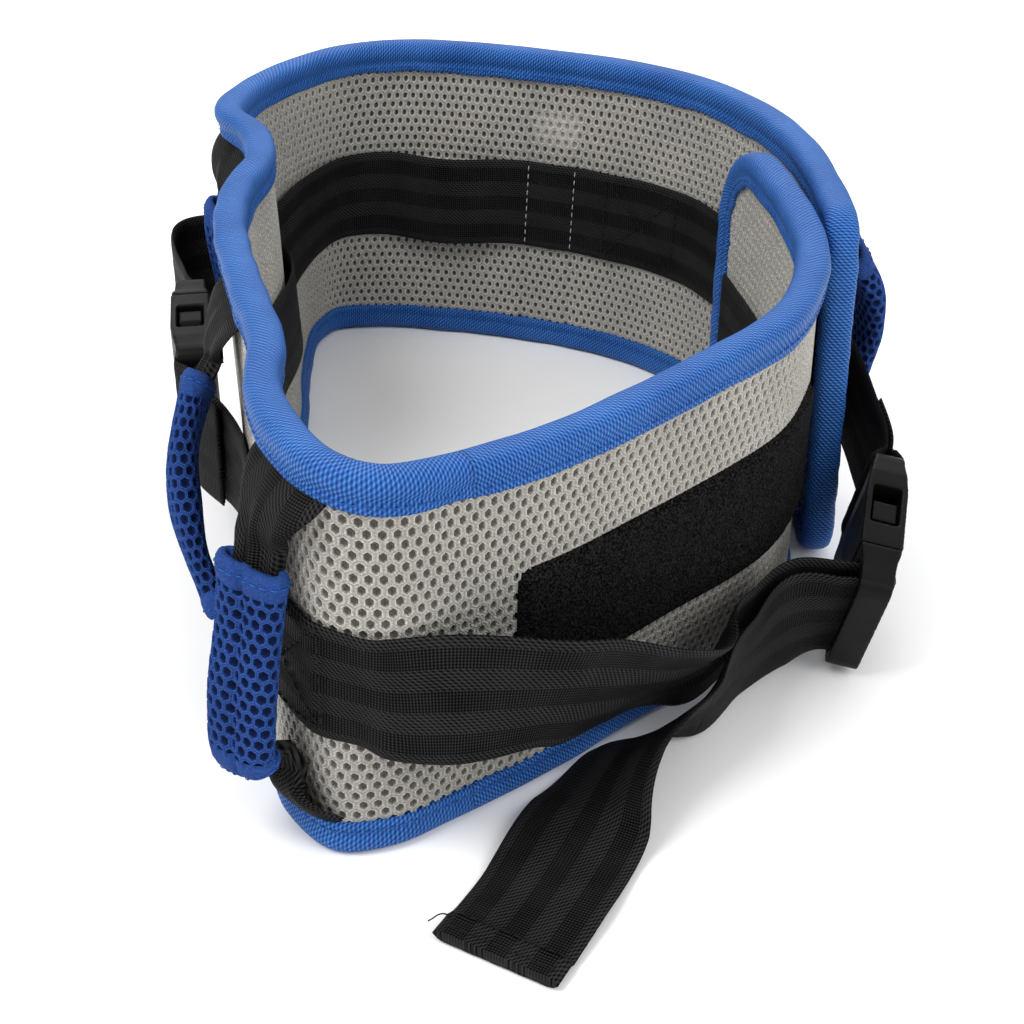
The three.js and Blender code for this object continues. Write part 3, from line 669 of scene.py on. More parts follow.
def tape_piece(name, along_from, along_to):
    path = outline_path(along_from, along_to, TAPE_STEP)
    section = np.array(TAPE_SECTION) * MM
    section = np.vstack([section * [-1, 1], [(0, -0.05 * MM)], section[::-1]])
    wobble = 1 + TAPE_WOBBLE * tape_wobble(path[:, 0], path[:, 1] * 3)
    out = section[:, 0] * wobble[:, None]
    flange = section[:, 1] > FLANGE_FROM
    wander = FLANGE_WANDER * tape_wobble(path[:, 1] * 2, path[:, 0])
    inward = section[:, 1] + flange * wander[:, None]
    along = path[:, 0:1] + path[:, 2:3] * inward
    height = path[:, 1:2] + path[:, 3:4] * inward
    rings = strip.place(along, out, np.clip(height, 0, BELT_HEIGHT))
    vertices, faces = tube(rings)
    lay = np.stack(np.broadcast_arrays(path_lengths(path[:, :2])[:, None], path_lengths(section),
                                       0 * out), -1)
    tape = add_mesh(name, vertices, faces, TWILL, lay.reshape(-1, 3))
    rows = []
    flat_along = path[:, 0] + path[:, 2] * TAPE_STITCH_IN
    flat_height = path[:, 1] + path[:, 3] * TAPE_STITCH_IN
    for side, label in ((1, "outer"), (-1, "inner")):
        line = strip.place(flat_along, side * TAPE_STITCH_OUT, flat_height)
        normals = strip.read(strip.normal, flat_along) * side
        rows.append(sew(f"{name}_{label}_stitching", [(line, normals)], BLUE_THREAD,
                        size=0.42 * MM))
    return tape, rows


# ---- webbing ------------------------------------------------------------------------------------

WEB_COLUMNS = 26
WEB_STRIPES = 5
WEB_RAISED = 0.06                   # how far the stripes stand out, as a share of the thickness
WEB_SQUARENESS = 14                 # of the rounding at the two edges


def webbing_section(width, thickness, curl=0.0, pleat=0.0):
    """Points (across, out) round a webbing's section: rounded edges and slightly raised stripes.

    curl drops the two edges behind the face, as on a webbing that is folded lengthwise, and
    pleat gathers it in lengthwise folds.
    """
    across = np.linspace(-1, 1, WEB_COLUMNS)
    stripe = WEB_RAISED * np.cos(across * math.pi * WEB_STRIPES)
    edge = np.clip(1 - np.abs(across) ** WEB_SQUARENESS, 0.02, 1) ** 0.5
    half = thickness / 2 * (1 + stripe) * edge
    drop = -curl * np.abs(across) ** 2.5 + pleat * np.cos(across * math.pi * 2.6 + 0.5)
    face = np.stack([across * width / 2, drop + half], -1)
    back = np.stack([across * width / 2, drop - half], -1)[::-1]
    return np.vstack([back, face])


def ribbon_rings(at, up, width=WEBBING_WIDTH, thickness=WEBBING_THICKNESS, curl=0.0, pleat=0.0,
                 flip=1, along_start=0.0):
    """Rings of points round a webbing through middle points, with directions across its width.

    The sizes may vary by point. The second result holds each point's weave coordinates.
    """
    at, up = np.asarray(at), np.asarray(up)
    count = len(at)
    tangent = unit(np.gradient(at, axis=0))
    up = unit(up - (up * tangent).sum(1)[:, None] * tangent)
    out = unit(np.cross(up, tangent)) * flip
    sizes = zip(*(np.broadcast_to(size, count) for size in (width, thickness, curl, pleat)))
    sections = np.stack([webbing_section(*size) for size in sizes])
    rings = at[:, None] + sections[..., 0:1] * up[:, None] + sections[..., 1:2] * out[:, None]
    travelled = path_lengths(at) + along_start
    lay = np.stack(np.broadcast_arrays(travelled[:, None], sections[..., 0], 0 * sections[..., 0]), -1)
    return rings, lay


def ribbon_piece(name, rings, lay):
    vertices, faces = tube(rings)
    return add_mesh(name, vertices, faces, WEBBING, lay.reshape(-1, 3))


def sweep_webbing(name, at, up, **options):
    return ribbon_piece(name, *ribbon_rings(at, up, **options))


def resample(at, up, step):
    """Dense points and directions through given ones, at about equal steps."""
    fine_at, fine_up = spline(at, 12), spline(up, 12)
    travelled = path_lengths(fine_at)
    where = np.linspace(0, travelled[-1], max(int(travelled[-1] / step), 4))
    return read_table(where, travelled, fine_at), read_table(where, travelled, fine_up)


def laid_frames(alongs, out, height):
    """Middle points of a webbing that follows the pad, and the directions across its width."""
    half = WEBBING_WIDTH / 2
    up = strip.place(alongs, out, height + half) - strip.place(alongs, out, height - half)
    return strip.place(alongs, out, height), up


def sewn_frames(alongs, height):
    """The same as lists, for a webbing lying on the pad at places in mm."""
    at, up = laid_frames(np.asarray(alongs, float) * MM, WEBBING_MIDDLE, height)
    return [*at], [*unit(up)]


def plan(point):
    return np.asarray(point, float) * MM + SHIFT


STRAP_STEP = 1.5 * MM


def strap_path(sewn, free, height=WAIST_HEIGHT):
    """Dense points and directions of a strap sewn to the pad at some places, then free."""
    at, up = sewn_frames(sewn, height=height)
    at += [plan(p) for p, _ in free]
    up += [unit(u) for _, u in free]
    return resample(at, up, STRAP_STEP)


# A buckle's own frame: x from the female's strap end to the male's, y across, z through.
BUCKLES = {
    "right": ((119.8, 6.3, 39), (-0.208, -0.939, -0.273), (0.124, -0.302, 0.945)),
    "left": ((-105.2, 23.4, 61), (-0.15, 0.989, 0), (0, 0, 1)),
}


def buckle_axes(side):
    origin, forward, up = BUCKLES[side]
    x = unit(forward)
    y = unit(np.asarray(up) - x * (np.asarray(up) @ x))
    return np.array(origin, float), x, y, np.cross(x, y)


def threaded(side, places):
    """Strap frames in plan coordinates, from (x, z) places in a buckle's own frame."""
    origin, x, y, z = buckle_axes(side)
    return [(tuple(origin + x * a + z * b), tuple(y)) for a, b in places]


FRONT_STRAP = [
    ((-32, -130.5, 60), (0, 0.08, 1)), ((-16, -131, 60.5), (0, 0.2, 1)),
    ((12, -123, 56), (0, -0.15, 1)), ((24, -114, 50), (0, -0.3, 0.95)),
    ((38, -100, 41), (-0.05, -0.6, 0.8)), ((55, -78, 30), (-0.15, -0.75, 0.65)),
    ((68.5, -57, 27.5), (-0.13, -0.46, 0.87)), ((86, -42, 28), (-0.05, -0.16, 0.98)),
    ((101, -38, 27.5), (0.124, -0.302, 0.945)),
]
# Through the male half's two slots, round the bar between them.
BAR_MIDDLE = (50.8, -5.9)
ROUND_THE_BAR = [(47.9, 3), (47.9, -3), (48.6, -5.2), BAR_MIDDLE, (53, -5.2), (53.7, -3), (53.7, 3)]
STRAP_RETURN = [
    ((100, -43.5, 25.5), (0.124, -0.302, 0.945)), ((86.6, -46.8, 25.5), (-0.1, -0.16, 0.98)),
    ((71.6, -61, 21.5), (-0.11, -0.43, 0.9)),
]
STRAP_TAIL = [
    ((57.8, -80.3, 19.3), (-0.15, -0.64, 0.75)), ((45, -91, 18.6), (0.15, -0.65, 0.68)),
    ((33.8, -99, 16), (0.4, -0.74, 0.5)), ((22.5, -114.5, 5.2), (0.4, -0.9, -0.1)),
    ((9, -142, 2.6), (0.62, -0.78, 0.03)), ((-4.7, -166.3, 1.4), (0.91, -0.4, 0)),
]
RIGHT_WEBBING = [
    ((115, 48, 57), (0, 0, 1)), ((119, 30, 49.5), (0.04, -0.1, 0.98)),
    ((121, 16, 43), (0.1, -0.25, 0.95)),
]
# Round the bar at the female half's strap end and back along itself.
ROUND_THE_END = [(-5, 1.2), (0.5, 5.1), (4.6, 4.6), (5.8, 2.5), (5.8, -2.5), (4.6, -4.6), (0.5, -5.1),
                 (-5, -1.2)]
RIGHT_DOUBLED = [((122.6, 15.7, 42.7), (0.1, -0.25, 0.95)), ((120.7, 29.7, 49.2), (0.04, -0.1, 0.98))]
LEFT_DOUBLED = [((-103.6, 7.4, 61), (0, 0, 1)), ((-93.2, -6, 60), (0, 0, 1))]
LEFT_WEBBING = [((-91, -5, 60), (0, 0, 1)), ((-101, 8, 61), (0, 0, 1))]
LEFT_REAR = [
    ((-106, 134, 60.5), (0, 0, 1)), ((-111, 140.5, 61), (0, 0, 1)),
    ((-117.5, 142.5, 61), (0, 0, 1)), ((-125, 138.5, 61), (0, 0, 1)),
    ((-128, 130, 61), (0, 0, 1)), ((-124.5, 112, 61), (0, 0, 1)),
    ((-119.5, 98, 61), (0, 0, 1)), ((-116, 88, 61), (0, 0, 1)),
]
INTO_THE_BAR = [(60, 1.5), (56, 5.2), (53.9, 3), (53.7, -3), (53, -5.2), BAR_MIDDLE, (48.6, -5.2),
                (47.9, -3), (47.9, 2)]
# Where each strap or webbing is sewn to the pad, along it in mm.
FRONT_SEWN = [332, 322, 312, 302, 292]
RIGHT_SEWN = [850, 860, 870, 880, 887]
LEFT_SEWN = [362, 374, 386, 398, 407]
REAR_SEWN = [512, 524, 536, 548]

# ---- pad, edge tape and patches -----------------------------------------------------------------

fold_middle = strip.place(FOLD_ALONG, 0, BELT_HEIGHT / 2)


def bend_at_fold(obj):
    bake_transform(obj)


MIDDLE_SEAM = 600 * MM
pads = [pad_piece("pad_front", 0, SEAM_ALONG), pad_piece("pad_left", SEAM_ALONG, MIDDLE_SEAM),
        pad_piece("pad_right", MIDDLE_SEAM, strip.length)]
bend_at_fold(pads[0])
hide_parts("inner_end_outer_mesh", "inner_end_foam_core", "inner_end_inner_mesh")
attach(pads[1], "belt")
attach(pads[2], "belt")
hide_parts("belt_outer_mesh", "belt_foam_core", "belt_inner_mesh")

front_tape, front_tape_rows = tape_piece("edge_tape_front", 0, SEAM_ALONG)
for piece in (front_tape, *front_tape_rows):
    bend_at_fold(piece)
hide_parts("inner_end_upper_binding", "inner_end_lower_binding",
            "inner_end_tip_binding")
rest_tape, rest_tape_rows = tape_piece("edge_tape_rest", SEAM_ALONG, strip.length)
for piece in (rest_tape, *rest_tape_rows):
    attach(piece, "belt")
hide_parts("belt_upper_binding", "belt_lower_binding", "outer_flap_end_binding")

# Where the inner band stands off the pad: from, to, and how far at the middle.
BAND_BULGES = [(60, 116, 1.2), (150, 205, 1.5), (205, 262, 1.5), (262, 312, 1.5), (318, 372, 2),
               (378, 418, 1.5), (424, 500, 2), (500, 560, 2), (560, 648, 3.5), (648, 716, 7),
               (718, 736, 0.5), (738, 770, 1), (790, 846, 2.5)]
BAND_RISE = 5.5 * MM                # how much higher the band lies round the back
BAND_START = 12 * MM
BAND_END = 847 * MM
BAND_BOX = (752, 786, 49, 82)       # sewn boxes: from and to along, then low and high, in mm
STRAP_BOX = (300, 328, 47, 79)
THREAD_GAP = 0.1 * MM
BACK_SEAM_LOW, BACK_SEAM_HIGH = 46.5, 84.5


def band_bulge(alongs):
    """How far the inner band stands off the pad."""
    total = 0
    for start, end, size in BAND_BULGES:
        share = np.clip((alongs / MM - start) / (end - start), 0, 1)
        total = total + size * MM * np.sin(share * math.pi) ** 2
    return total


def band_height(alongs):
    return WAIST_HEIGHT + BAND_RISE * smooth_step(alongs, 540 * MM, 600 * MM)


def band_out(alongs):
    return -(WEBBING_MIDDLE + band_bulge(alongs))


def band_piece(name, alongs):
    """Inner band of webbing, standing off the pad between the places where it is sewn down."""
    at, up = laid_frames(alongs, band_out(alongs), band_height(alongs))
    return sweep_webbing(name, at, up, flip=-1, along_start=alongs[0])


def band_places(start, end):
    return np.arange(start / MM, end / MM + 0.01, 2) * MM


band_front = band_piece("inner_band_front", band_places(BAND_START, SEAM_ALONG))
bend_at_fold(band_front)
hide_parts("inner_end_band")
band_rest = band_piece("inner_band_rest", band_places(SEAM_ALONG, BAND_END))
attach(band_rest, "belt")
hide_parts("inner_waist_band")


def over_band(alongs):
    return band_out(alongs) - WEBBING_THICKNESS / 2 - THREAD_GAP


seam_lines = [flat_line([(seam / MM, BACK_SEAM_LOW), (seam / MM, BACK_SEAM_HIGH)], over_band)
              for seam in BACK_SEAMS]
back_seams = sew("back_seam_stitching", seam_lines, GREY_THREAD, length=2.2 * MM,
                 pitch=3.6 * MM, size=0.5 * MM)
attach(back_seams, "belt")
inner_box = box_stitching("inner_band_box_stitching", *BAND_BOX, over_band)
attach(inner_box, "belt")

PATCH_STEP = 1.5 * MM
PATCH_COLUMNS = 40
PATCH_CORNER = 4 * MM
PATCH_BORDER = (1.2 * MM, 2.6 * MM)      # from the patch's edge to the foot and the top of its pile
BORDER_HEIGHT = 0.9 * MM
PILE_HEIGHT = 1.5 * MM
PILE_ROUGHNESS = 0.14 * MM
PATCH_SINK = 0.4 * MM
PATCH_DEPTH = 1.2 * MM
LOOP_PATCH = (108 * MM, 248 * MM)
HOOK_PATCH = (strip.length - 73 * MM, strip.length - 11.3 * MM)


def patch_piece(name, along_from, along_to, side):
    """A hook-and-loop patch lying on a face of the pad: a pile with a thin flat border."""
    rows = int((along_to - along_from) / PATCH_STEP)
    along, across = np.meshgrid(np.linspace(along_from, along_to, rows),
                                np.linspace(-1, 1, PATCH_COLUMNS), indexing="ij")
    from_side = (1 - np.abs(across)) * PATCH_HEIGHT / 2
    from_end = np.minimum(along - along_from, along_to - along)
    past = np.hypot(np.maximum(PATCH_CORNER - from_side, 0), np.maximum(PATCH_CORNER - from_end, 0))
    from_edge = np.where(past > 0, PATCH_CORNER - past, np.minimum(from_side, from_end))
    rough = np.random.default_rng(21).uniform(-PILE_ROUGHNESS, PILE_ROUGHNESS, along.shape)
    pile = PILE_HEIGHT * smooth_step(from_edge, *PATCH_BORDER) + BORDER_HEIGHT
    pile = pile + rough * (from_edge > 2 * MM)
    thinned = 0.6 + 0.4 * smooth_step(from_edge, 0, 0.6 * MM)
    pile = pile * np.where(from_edge < -0.05 * MM, -1, thinned)
    height = PATCH_MIDDLE + across * PATCH_HEIGHT / 2
    top = strip.place(along, side * (PAD_FACE - PATCH_SINK + pile), height)
    base = strip.place(along, side * (PAD_FACE - PATCH_DEPTH), height)
    quads = grid_faces(*along.shape)
    rim = border_edges(quads, np.zeros((0, 3), int))
    count = along.size
    sides = np.stack([rim[:, 1], rim[:, 0], rim[:, 0] + count, rim[:, 1] + count], -1)
    lay = np.stack([along, height, 0 * along], -1).reshape(-1, 3)
    faces = [quads, quads[:, ::-1] + count, sides]
    return add_mesh(name, np.vstack([top.reshape(-1, 3), base.reshape(-1, 3)]), faces, PATCH,
                    np.vstack([lay, lay]))


loop_patch = patch_piece("loop_panel", *LOOP_PATCH, 1)
bend_at_fold(loop_patch)
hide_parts("loop_patch")
hook_patch = patch_piece("hook_panel", *HOOK_PATCH, -1)
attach(hook_patch, "belt")
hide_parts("hook_patch")

# ---- straps -------------------------------------------------------------------------------------

STRAP_HEIGHTS = np.array([64, 63.2, 62.4, 61.4, 60.5]) * MM       # its sewn end lies a little high
DOUBLED_LENGTH = 33 * MM            # the sewn end is folded double
DOUBLED_EXTRA = 1.3 * MM
TAIL_START = (58.3, -79.6, 19.35)
TAIL_HEM = 9 * MM                   # the tail's end is rolled into a hem
HEM_EXTRA = 2.2 * MM
HEM_ROWS = (2.5 * MM, 7 * MM)
THREAD_RADIUS = 0.22 * MM
THREAD_POINTS = [(2, 0, 0), (0, 0, 0.4), (-1.5, 0.4, 0.6), (-3, 0.2, 0.3), (-4.5, -1, 0.1),
                 (-5.5, -2, 0.3)]

strap_at, strap_up = strap_path(
    FRONT_SEWN, [*FRONT_STRAP, *threaded("right", ROUND_THE_BAR), *STRAP_RETURN, *STRAP_TAIL],
    height=STRAP_HEIGHTS)
from_start = np.arange(len(strap_at)) * STRAP_STEP
to_end = from_start[-1] - from_start
hem = 1 - smooth_step(to_end, TAIL_HEM - MM, TAIL_HEM + 0.5 * MM)
doubled = 1 - smooth_step(from_start, DOUBLED_LENGTH, DOUBLED_LENGTH + MM)
rings, lay = ribbon_rings(strap_at + np.outer(hem, (0, 0, HEM_EXTRA / 2)), strap_up,
                          thickness=WEBBING_THICKNESS + HEM_EXTRA * hem + DOUBLED_EXTRA * doubled)


def nearest(points, target):
    return int(np.argmin(np.linalg.norm(points - target, axis=1)))


bar_middle = nearest(strap_at, plan(threaded("right", [BAR_MIDDLE])[0][0]))
tail_start = nearest(strap_at, plan(TAIL_START))
front_strap = ribbon_piece("front_strap", rings[:bar_middle + 1], lay[:bar_middle + 1])
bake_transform(front_strap)
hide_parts("front_waist_strap")
strap_return = ribbon_piece("strap_return", rings[bar_middle:tail_start + 1],
                            lay[bar_middle:tail_start + 1])
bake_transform(strap_return)
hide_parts("front_strap_return")
tail = ribbon_piece("tail_webbing", rings[tail_start:], lay[tail_start:])
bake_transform(tail)
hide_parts("strap_tail")
strap_box = box_stitching("front_strap_box_stitching", *STRAP_BOX, WEBBING_MIDDLE + WEBBING_THICKNESS)
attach(strap_box, "belt")


def top_face(ring):
    """The points of a ring's upper face, and the direction out of it."""
    back, face = ring[:WEB_COLUMNS][::-1], ring[WEB_COLUMNS:]
    upper, lower = (face, back) if face[:, 2].mean() > back[:, 2].mean() else (back, face)
    return upper[1:-1], (upper - lower)[1:-1]


def loose_end(name, start):
    """A short end of sewing thread, as a thin curved tube."""
    line = spline(start + np.array(THREAD_POINTS) * MM, 6)
    heading = unit(np.gradient(line, axis=0))
    sideways = unit(np.cross(heading, (0, 0, 1)))
    turns = np.arange(6)[:, None] * math.pi / 3
    ring = np.cos(turns) * sideways[:, None] + np.sin(turns) * np.cross(sideways, heading)[:, None]
    vertices, faces = tube(line[:, None] + THREAD_RADIUS * ring)
    return add_mesh(name, vertices, faces, BLACK_THREAD, np.zeros((len(vertices), 3)))


hem_lines = [top_face(rings[-1 - round(inset / STRAP_STEP)]) for inset in HEM_ROWS]
tail_stitching = sew("tail_hem_stitching", hem_lines, BLACK_THREAD)
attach(tail_stitching, "tail")
hem_corner = min(top_face(rings[-5])[0], key=lambda point: point[0])
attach(loose_end("loose_thread_end", hem_corner), "tail")

right_webbing = sweep_webbing("right_rear_webbing", *strap_path(
    RIGHT_SEWN, RIGHT_WEBBING + threaded("right", ROUND_THE_END) + RIGHT_DOUBLED))
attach(right_webbing, "belt")
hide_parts("right_waist_webbing")
left_webbing = sweep_webbing("left_front_webbing", *strap_path(
    LEFT_SEWN, LEFT_WEBBING + threaded("left", ROUND_THE_END) + LEFT_DOUBLED))
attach(left_webbing, "belt")
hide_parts("left_waist_webbing")
left_rear = sweep_webbing("left_rear_webbing", *strap_path(
    REAR_SEWN, LEFT_REAR + threaded("left", INTO_THE_BAR)))
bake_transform(left_rear)
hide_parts("left_rear_strap", "left_rear_strap_leg")

# ---- handles ------------------------------------------------------------------------------------

HANDLE_MIDDLE = 65 * MM
HANDLE_REACH = 36 * MM
HANDLE_END_OUT = 11 * MM
LOOP_WIDTH = 17 * MM
LOOP_THICKNESS = 3 * MM
SLEEVE_WIDTH = 21.8 * MM
SLEEVE_SEAM = (1.3 * MM, 1.5 * MM)     # half width and depth of the groove down its front
SLEEVE_THICKNESS = 8.4 * MM
SLEEVE_SHARE = 0.84                 # how much of the loop's length the sleeve covers
BOW = 2.4                           # the higher, the squarer the bow of a loop


def bowed(stand_off):
    """An even bow: (share of the way from the middle to an end, how far out in mm)."""
    end = HANDLE_END_OUT / MM
    return [(s, end + (stand_off - end) * (1 - abs(s) ** BOW)) for s in np.linspace(-1, 1, 9)]


# Each handle: where its upper and lower tabs are sewn along the strip, the line that its loop
# follows between them, how far it is twisted, and how crumpled its sleeve is.
HANDLES = {
    "front_left": (314, 312, [(-1, 11), (-0.95, 16), (-0.82, 20.3), (-0.5, 20), (0, 17.5),
                              (0.5, 14.8), (0.85, 13), (1, 12)], 20, 0.5),
    "left": (418, 372, bowed(23), 0, 1.5),
    "back_left": (550, 550, bowed(16.5), 0, 0.6),
    "back": (726, 726, bowed(24), 0, 0.6),
    "right": (876, 870, bowed(25), 0, 0.7),
}


class Grip:
    """The line that a handle's loop follows, and directions along it.

    Places on it are distances from its middle, positive towards the upper end.
    """

    def __init__(self, upper_at, lower_at, profile, twist):
        self.upper_at, self.lower_at = upper_at * MM, lower_at * MM
        upper = strip.place(self.upper_at, HANDLE_END_OUT, HANDLE_MIDDLE + HANDLE_REACH)
        lower = strip.place(self.lower_at, HANDLE_END_OUT, HANDLE_MIDDLE - HANDLE_REACH)
        rise = unit(upper - lower)
        out = unit(strip.read(strip.normal, (self.upper_at + self.lower_at) / 2))
        out = unit(out - rise * (out @ rise))
        shares, outs = np.array(profile).T
        half = (upper - lower) / 2
        points = (upper + lower) / 2 + shares[:, None] * half
        self.line = spline(points + (outs * MM - HANDLE_END_OUT)[:, None] * out, 16)
        lengths = path_lengths(self.line)
        self.half_length = lengths[-1] / 2
        self.travel = lengths - self.half_length
        self.tangent = unit(np.gradient(self.line, axis=0))
        turn = Matrix.Rotation(math.radians(twist), 3, Vector(rise))
        self.face = np.array(turn @ Vector(out))

    def at(self, distance):
        return read_table(distance, self.travel, self.line)

    def heading(self, distance):
        return unit(read_table(distance, self.travel, self.tangent))

    def outward(self, distance):
        heading = self.heading(distance)
        return unit(self.face - (heading @ self.face)[..., None] * heading)

    def across(self, distance):
        return np.cross(self.outward(distance), self.heading(distance))


# A tab's line: how far out from the pad's middle, and how far from the handle's middle, in mm.
TAB_LINE = [(2.4, 57), (3.0, 54.6), (6.2, 51.6), (9.4, 47), (11.3, 41.5)]
LOOP_SHARES = np.array([0.985, 0.93, 0.85, 0.7, 0.5, 0.25, 0.0])
LOOP_STEP = 1.6 * MM
# Measured from a tab's sewn end: where the webbing lies on the pad, where it gathers into the
# loop, and where its gathers die down.
LAID = (8 * MM, 24 * MM)
NARROWING = (5 * MM, 27 * MM)
SETTLING = (28 * MM, 44 * MM)
TAB_CURL, LOOP_CURL = 3.4, 1.0      # mm
PLEAT = 0.8 * MM


def half_webbing(prefix, grip, side):
    """The webbing from one sewn tab to the middle of the handle; side is 1 above and -1 below."""
    at_along = grip.upper_at if side > 0 else grip.lower_at
    at = [strip.place(at_along, out * MM, HANDLE_MIDDLE + side * rise * MM)
          for out, rise in TAB_LINE]
    across = unit(strip.read(strip.heading, at_along))
    up = [across] * len(at)
    distances = side * grip.half_length * LOOP_SHARES
    at += [*grip.at(distances)]
    up += [*grip.across(distances)]
    at, up = resample(at, up, LOOP_STEP)
    travelled = path_lengths(at)
    narrowing = smooth_step(travelled, *NARROWING)
    settled = smooth_step(travelled, *SETTLING)
    width = WEBBING_WIDTH + (LOOP_WIDTH - WEBBING_WIDTH) * narrowing
    thickness = WEBBING_THICKNESS + (LOOP_THICKNESS - WEBBING_THICKNESS) * narrowing
    name = "upper" if side > 0 else "lower"
    rings, lay = ribbon_rings(at, up, width=width, thickness=thickness,
                              curl=(TAB_CURL - (TAB_CURL - LOOP_CURL) * settled) * MM * narrowing,
                              pleat=PLEAT * narrowing * (1 - settled), flip=side)
    # Where it is sewn the webbing follows the bend of the pad.
    ahead, height = lay[..., 1], rings[..., 2]
    bend = strip.place(at_along + ahead, 0, height) - strip.place(at_along, 0, height)
    laid = 1 - smooth_step(travelled, *LAID)
    rings = rings + laid[:, None, None] * (bend - ahead[..., None] * across)
    piece = ribbon_piece(f"{prefix}_{name}_webbing", rings, lay)
    tuple(grip.at(distances[1]))
    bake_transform(piece)
    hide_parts(f"{prefix}_handle_{name}_tab")


SLEEVE_CELLS_ROUND = 15
SLEEVE_PITCH = 3.6 * MM             # along the sleeve, from a row of holes to the next
SLEEVE_HOLE = (3.0 * MM, 3.6 * MM)
SLEEVE_ROUNDNESS = 0.72             # 1 is an ellipse, and less is squarer
SLEEVE_EASE = 0.25 * MM
SLEEVE_RIM = 0.12 * MM              # the rim of a hole stands a little proud
SLEEVE_DEPTH = 0.75 * MM            # and its floor lies this deep
HEM_LENGTH = 5.5 * MM
HEM_OVERLAP = 2.2 * MM
HEM_POINTS = 72
HEM_INSET = np.array([0.5, -0.1, -0.45, -0.5, -0.5, -0.35, 0.3]) * MM
HEM_TURNED_IN = 2.2 * MM, 2.4 * MM  # how deep the hem's inside lies at its outer and inner end
SLEEVE_ROW_POINTS = 121
SLEEVE_ROW_OUT = 0.55 * MM


def sleeve_ring(angle):
    """A flattened round section: (across, out)."""
    x, y = (np.sign(f(angle)) * np.abs(f(angle)) ** SLEEVE_ROUNDNESS for f in (np.cos, np.sin))
    return x * SLEEVE_WIDTH / 2, y * SLEEVE_THICKNESS / 2


# Angles round the sleeve, and how far round its section each of them is.
SLEEVE_ANGLES = np.linspace(0, 2 * math.pi, 721)
SLEEVE_ROUND = path_lengths(np.stack(sleeve_ring(SLEEVE_ANGLES), axis=-1))


def sleeve_piece(prefix, grip, seed, crumpling):
    """The mesh sleeve: an open knit round the loop, with plain hems at both ends."""
    girth = SLEEVE_ROUND[-1]
    half_length = grip.half_length * SLEEVE_SHARE
    knit_end = half_length - HEM_LENGTH
    crumple = waves(8, 14 * MM, 50 * MM, seed)

    def shape(around, rise, drop):
        """Places on the sleeve, from how far round and along it they are and how deep."""
        angle = np.interp(around % girth, SLEEVE_ROUND, SLEEVE_ANGLES)
        swell = crumpling * MM * crumple(around, rise) + SLEEVE_EASE
        x, y = sleeve_ring(angle)
        centre, outward, sideways = grip.at(rise), grip.outward(rise), grip.across(rise)
        normal = unit(np.stack([x / SLEEVE_WIDTH ** 2, y / SLEEVE_THICKNESS ** 2], -1))
        seam = np.exp(-(x / SLEEVE_SEAM[0]) ** 2) * (y > 0)
        lift = swell - drop - SLEEVE_SEAM[1] * seam
        across = x + normal[..., 0] * lift
        out = y + normal[..., 1] * lift
        return centre + across[..., None] * sideways + out[..., None] * outward

    flat, depth, faces = knit_cells(0, girth, -knit_end, knit_end,
                                    (girth / SLEEVE_CELLS_ROUND, SLEEVE_PITCH), SLEEVE_HOLE,
                                    wrap=girth)
    drop = np.select([depth == 0, depth < 0.5], [-SLEEVE_RIM, 0], SLEEVE_DEPTH)
    vertices = shape(flat[:, 0], flat[:, 1], drop)
    lay = np.stack([flat[:, 0], flat[:, 1], depth], -1)
    parts = [(vertices, faces, lay)]
    around = np.linspace(0, girth, HEM_POINTS + 1)[:-1]
    for side in (1, -1):
        rises = np.linspace(knit_end - HEM_OVERLAP, half_length, len(HEM_INSET))
        rises = side * np.append(rises, [rises[-1], rises[0]])
        inset = np.append(HEM_INSET, HEM_TURNED_IN)
        round_grid, rise_grid = np.meshgrid(around, rises)
        rings = shape(round_grid, rise_grid, inset[:, None])
        hem_faces = [grid_faces(*rise_grid.shape, closed=True)[:, ::side]]
        hem_lay = np.stack(np.broadcast_arrays(around[None], rings[..., 0] * 0, 0.25), -1)
        parts.append((rings.reshape(-1, 3), hem_faces, hem_lay.reshape(-1, 3)))
    vertices, faces, lay = join_parts(parts)
    sleeve = add_mesh(f"{prefix}_mesh_sleeve", vertices, faces, SLEEVE, lay)
    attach(sleeve, f"{prefix}_handle")
    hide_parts(f"{prefix}_handle_sleeve", f"{prefix}_handle_webbing")
    for side, label in ((1, "upper"), (-1, "lower")):
        loop = np.linspace(0, girth, SLEEVE_ROW_POINTS)
        rise = np.full(len(loop), side * (half_length - HEM_LENGTH * 0.55))
        line = shape(loop, rise, -SLEEVE_ROW_OUT)
        row = sew(f"{prefix}_sleeve_{label}_stitching", [(line, line - grip.at(rise))], BLUE_THREAD,
                  length=2.3 * MM, pitch=3 * MM, size=0.45 * MM)
        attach(row, f"{prefix}_handle")


for number, (prefix, (*line, crumpling)) in enumerate(HANDLES.items()):
    grip = Grip(*line)
    half_webbing(prefix, grip, 1)
    half_webbing(prefix, grip, -1)
    sleeve_piece(prefix, grip, 40 + number, crumpling)

# ---- buckles ------------------------------------------------------------------------------------

# How thick and how wide the halves are, as shares of the plain block, along the buckle in mm.
FEMALE_SHAPE = [(-1, 0.78, 0.93), (6, 0.86, 0.96), (11, 1.0, 1.0), (15, 1.12, 1.0), (43, 1.12, 1.0)]
MALE_SHAPE = [(41, 1.08, 1.0), (44, 1.06, 1.0), (47, 0.94, 0.97), (52, 0.88, 0.95), (60, 0.86, 0.95)]
CATCH_SHAPE = [(28, 1.3, 1.05), (41, 1.0, 1.0)]
# Where places along the plain block move to, so that the side windows lie nearer the seam.
WINDOW_SHIFT = [(12, 12), (14, 17), (29, 33), (41, 41)]
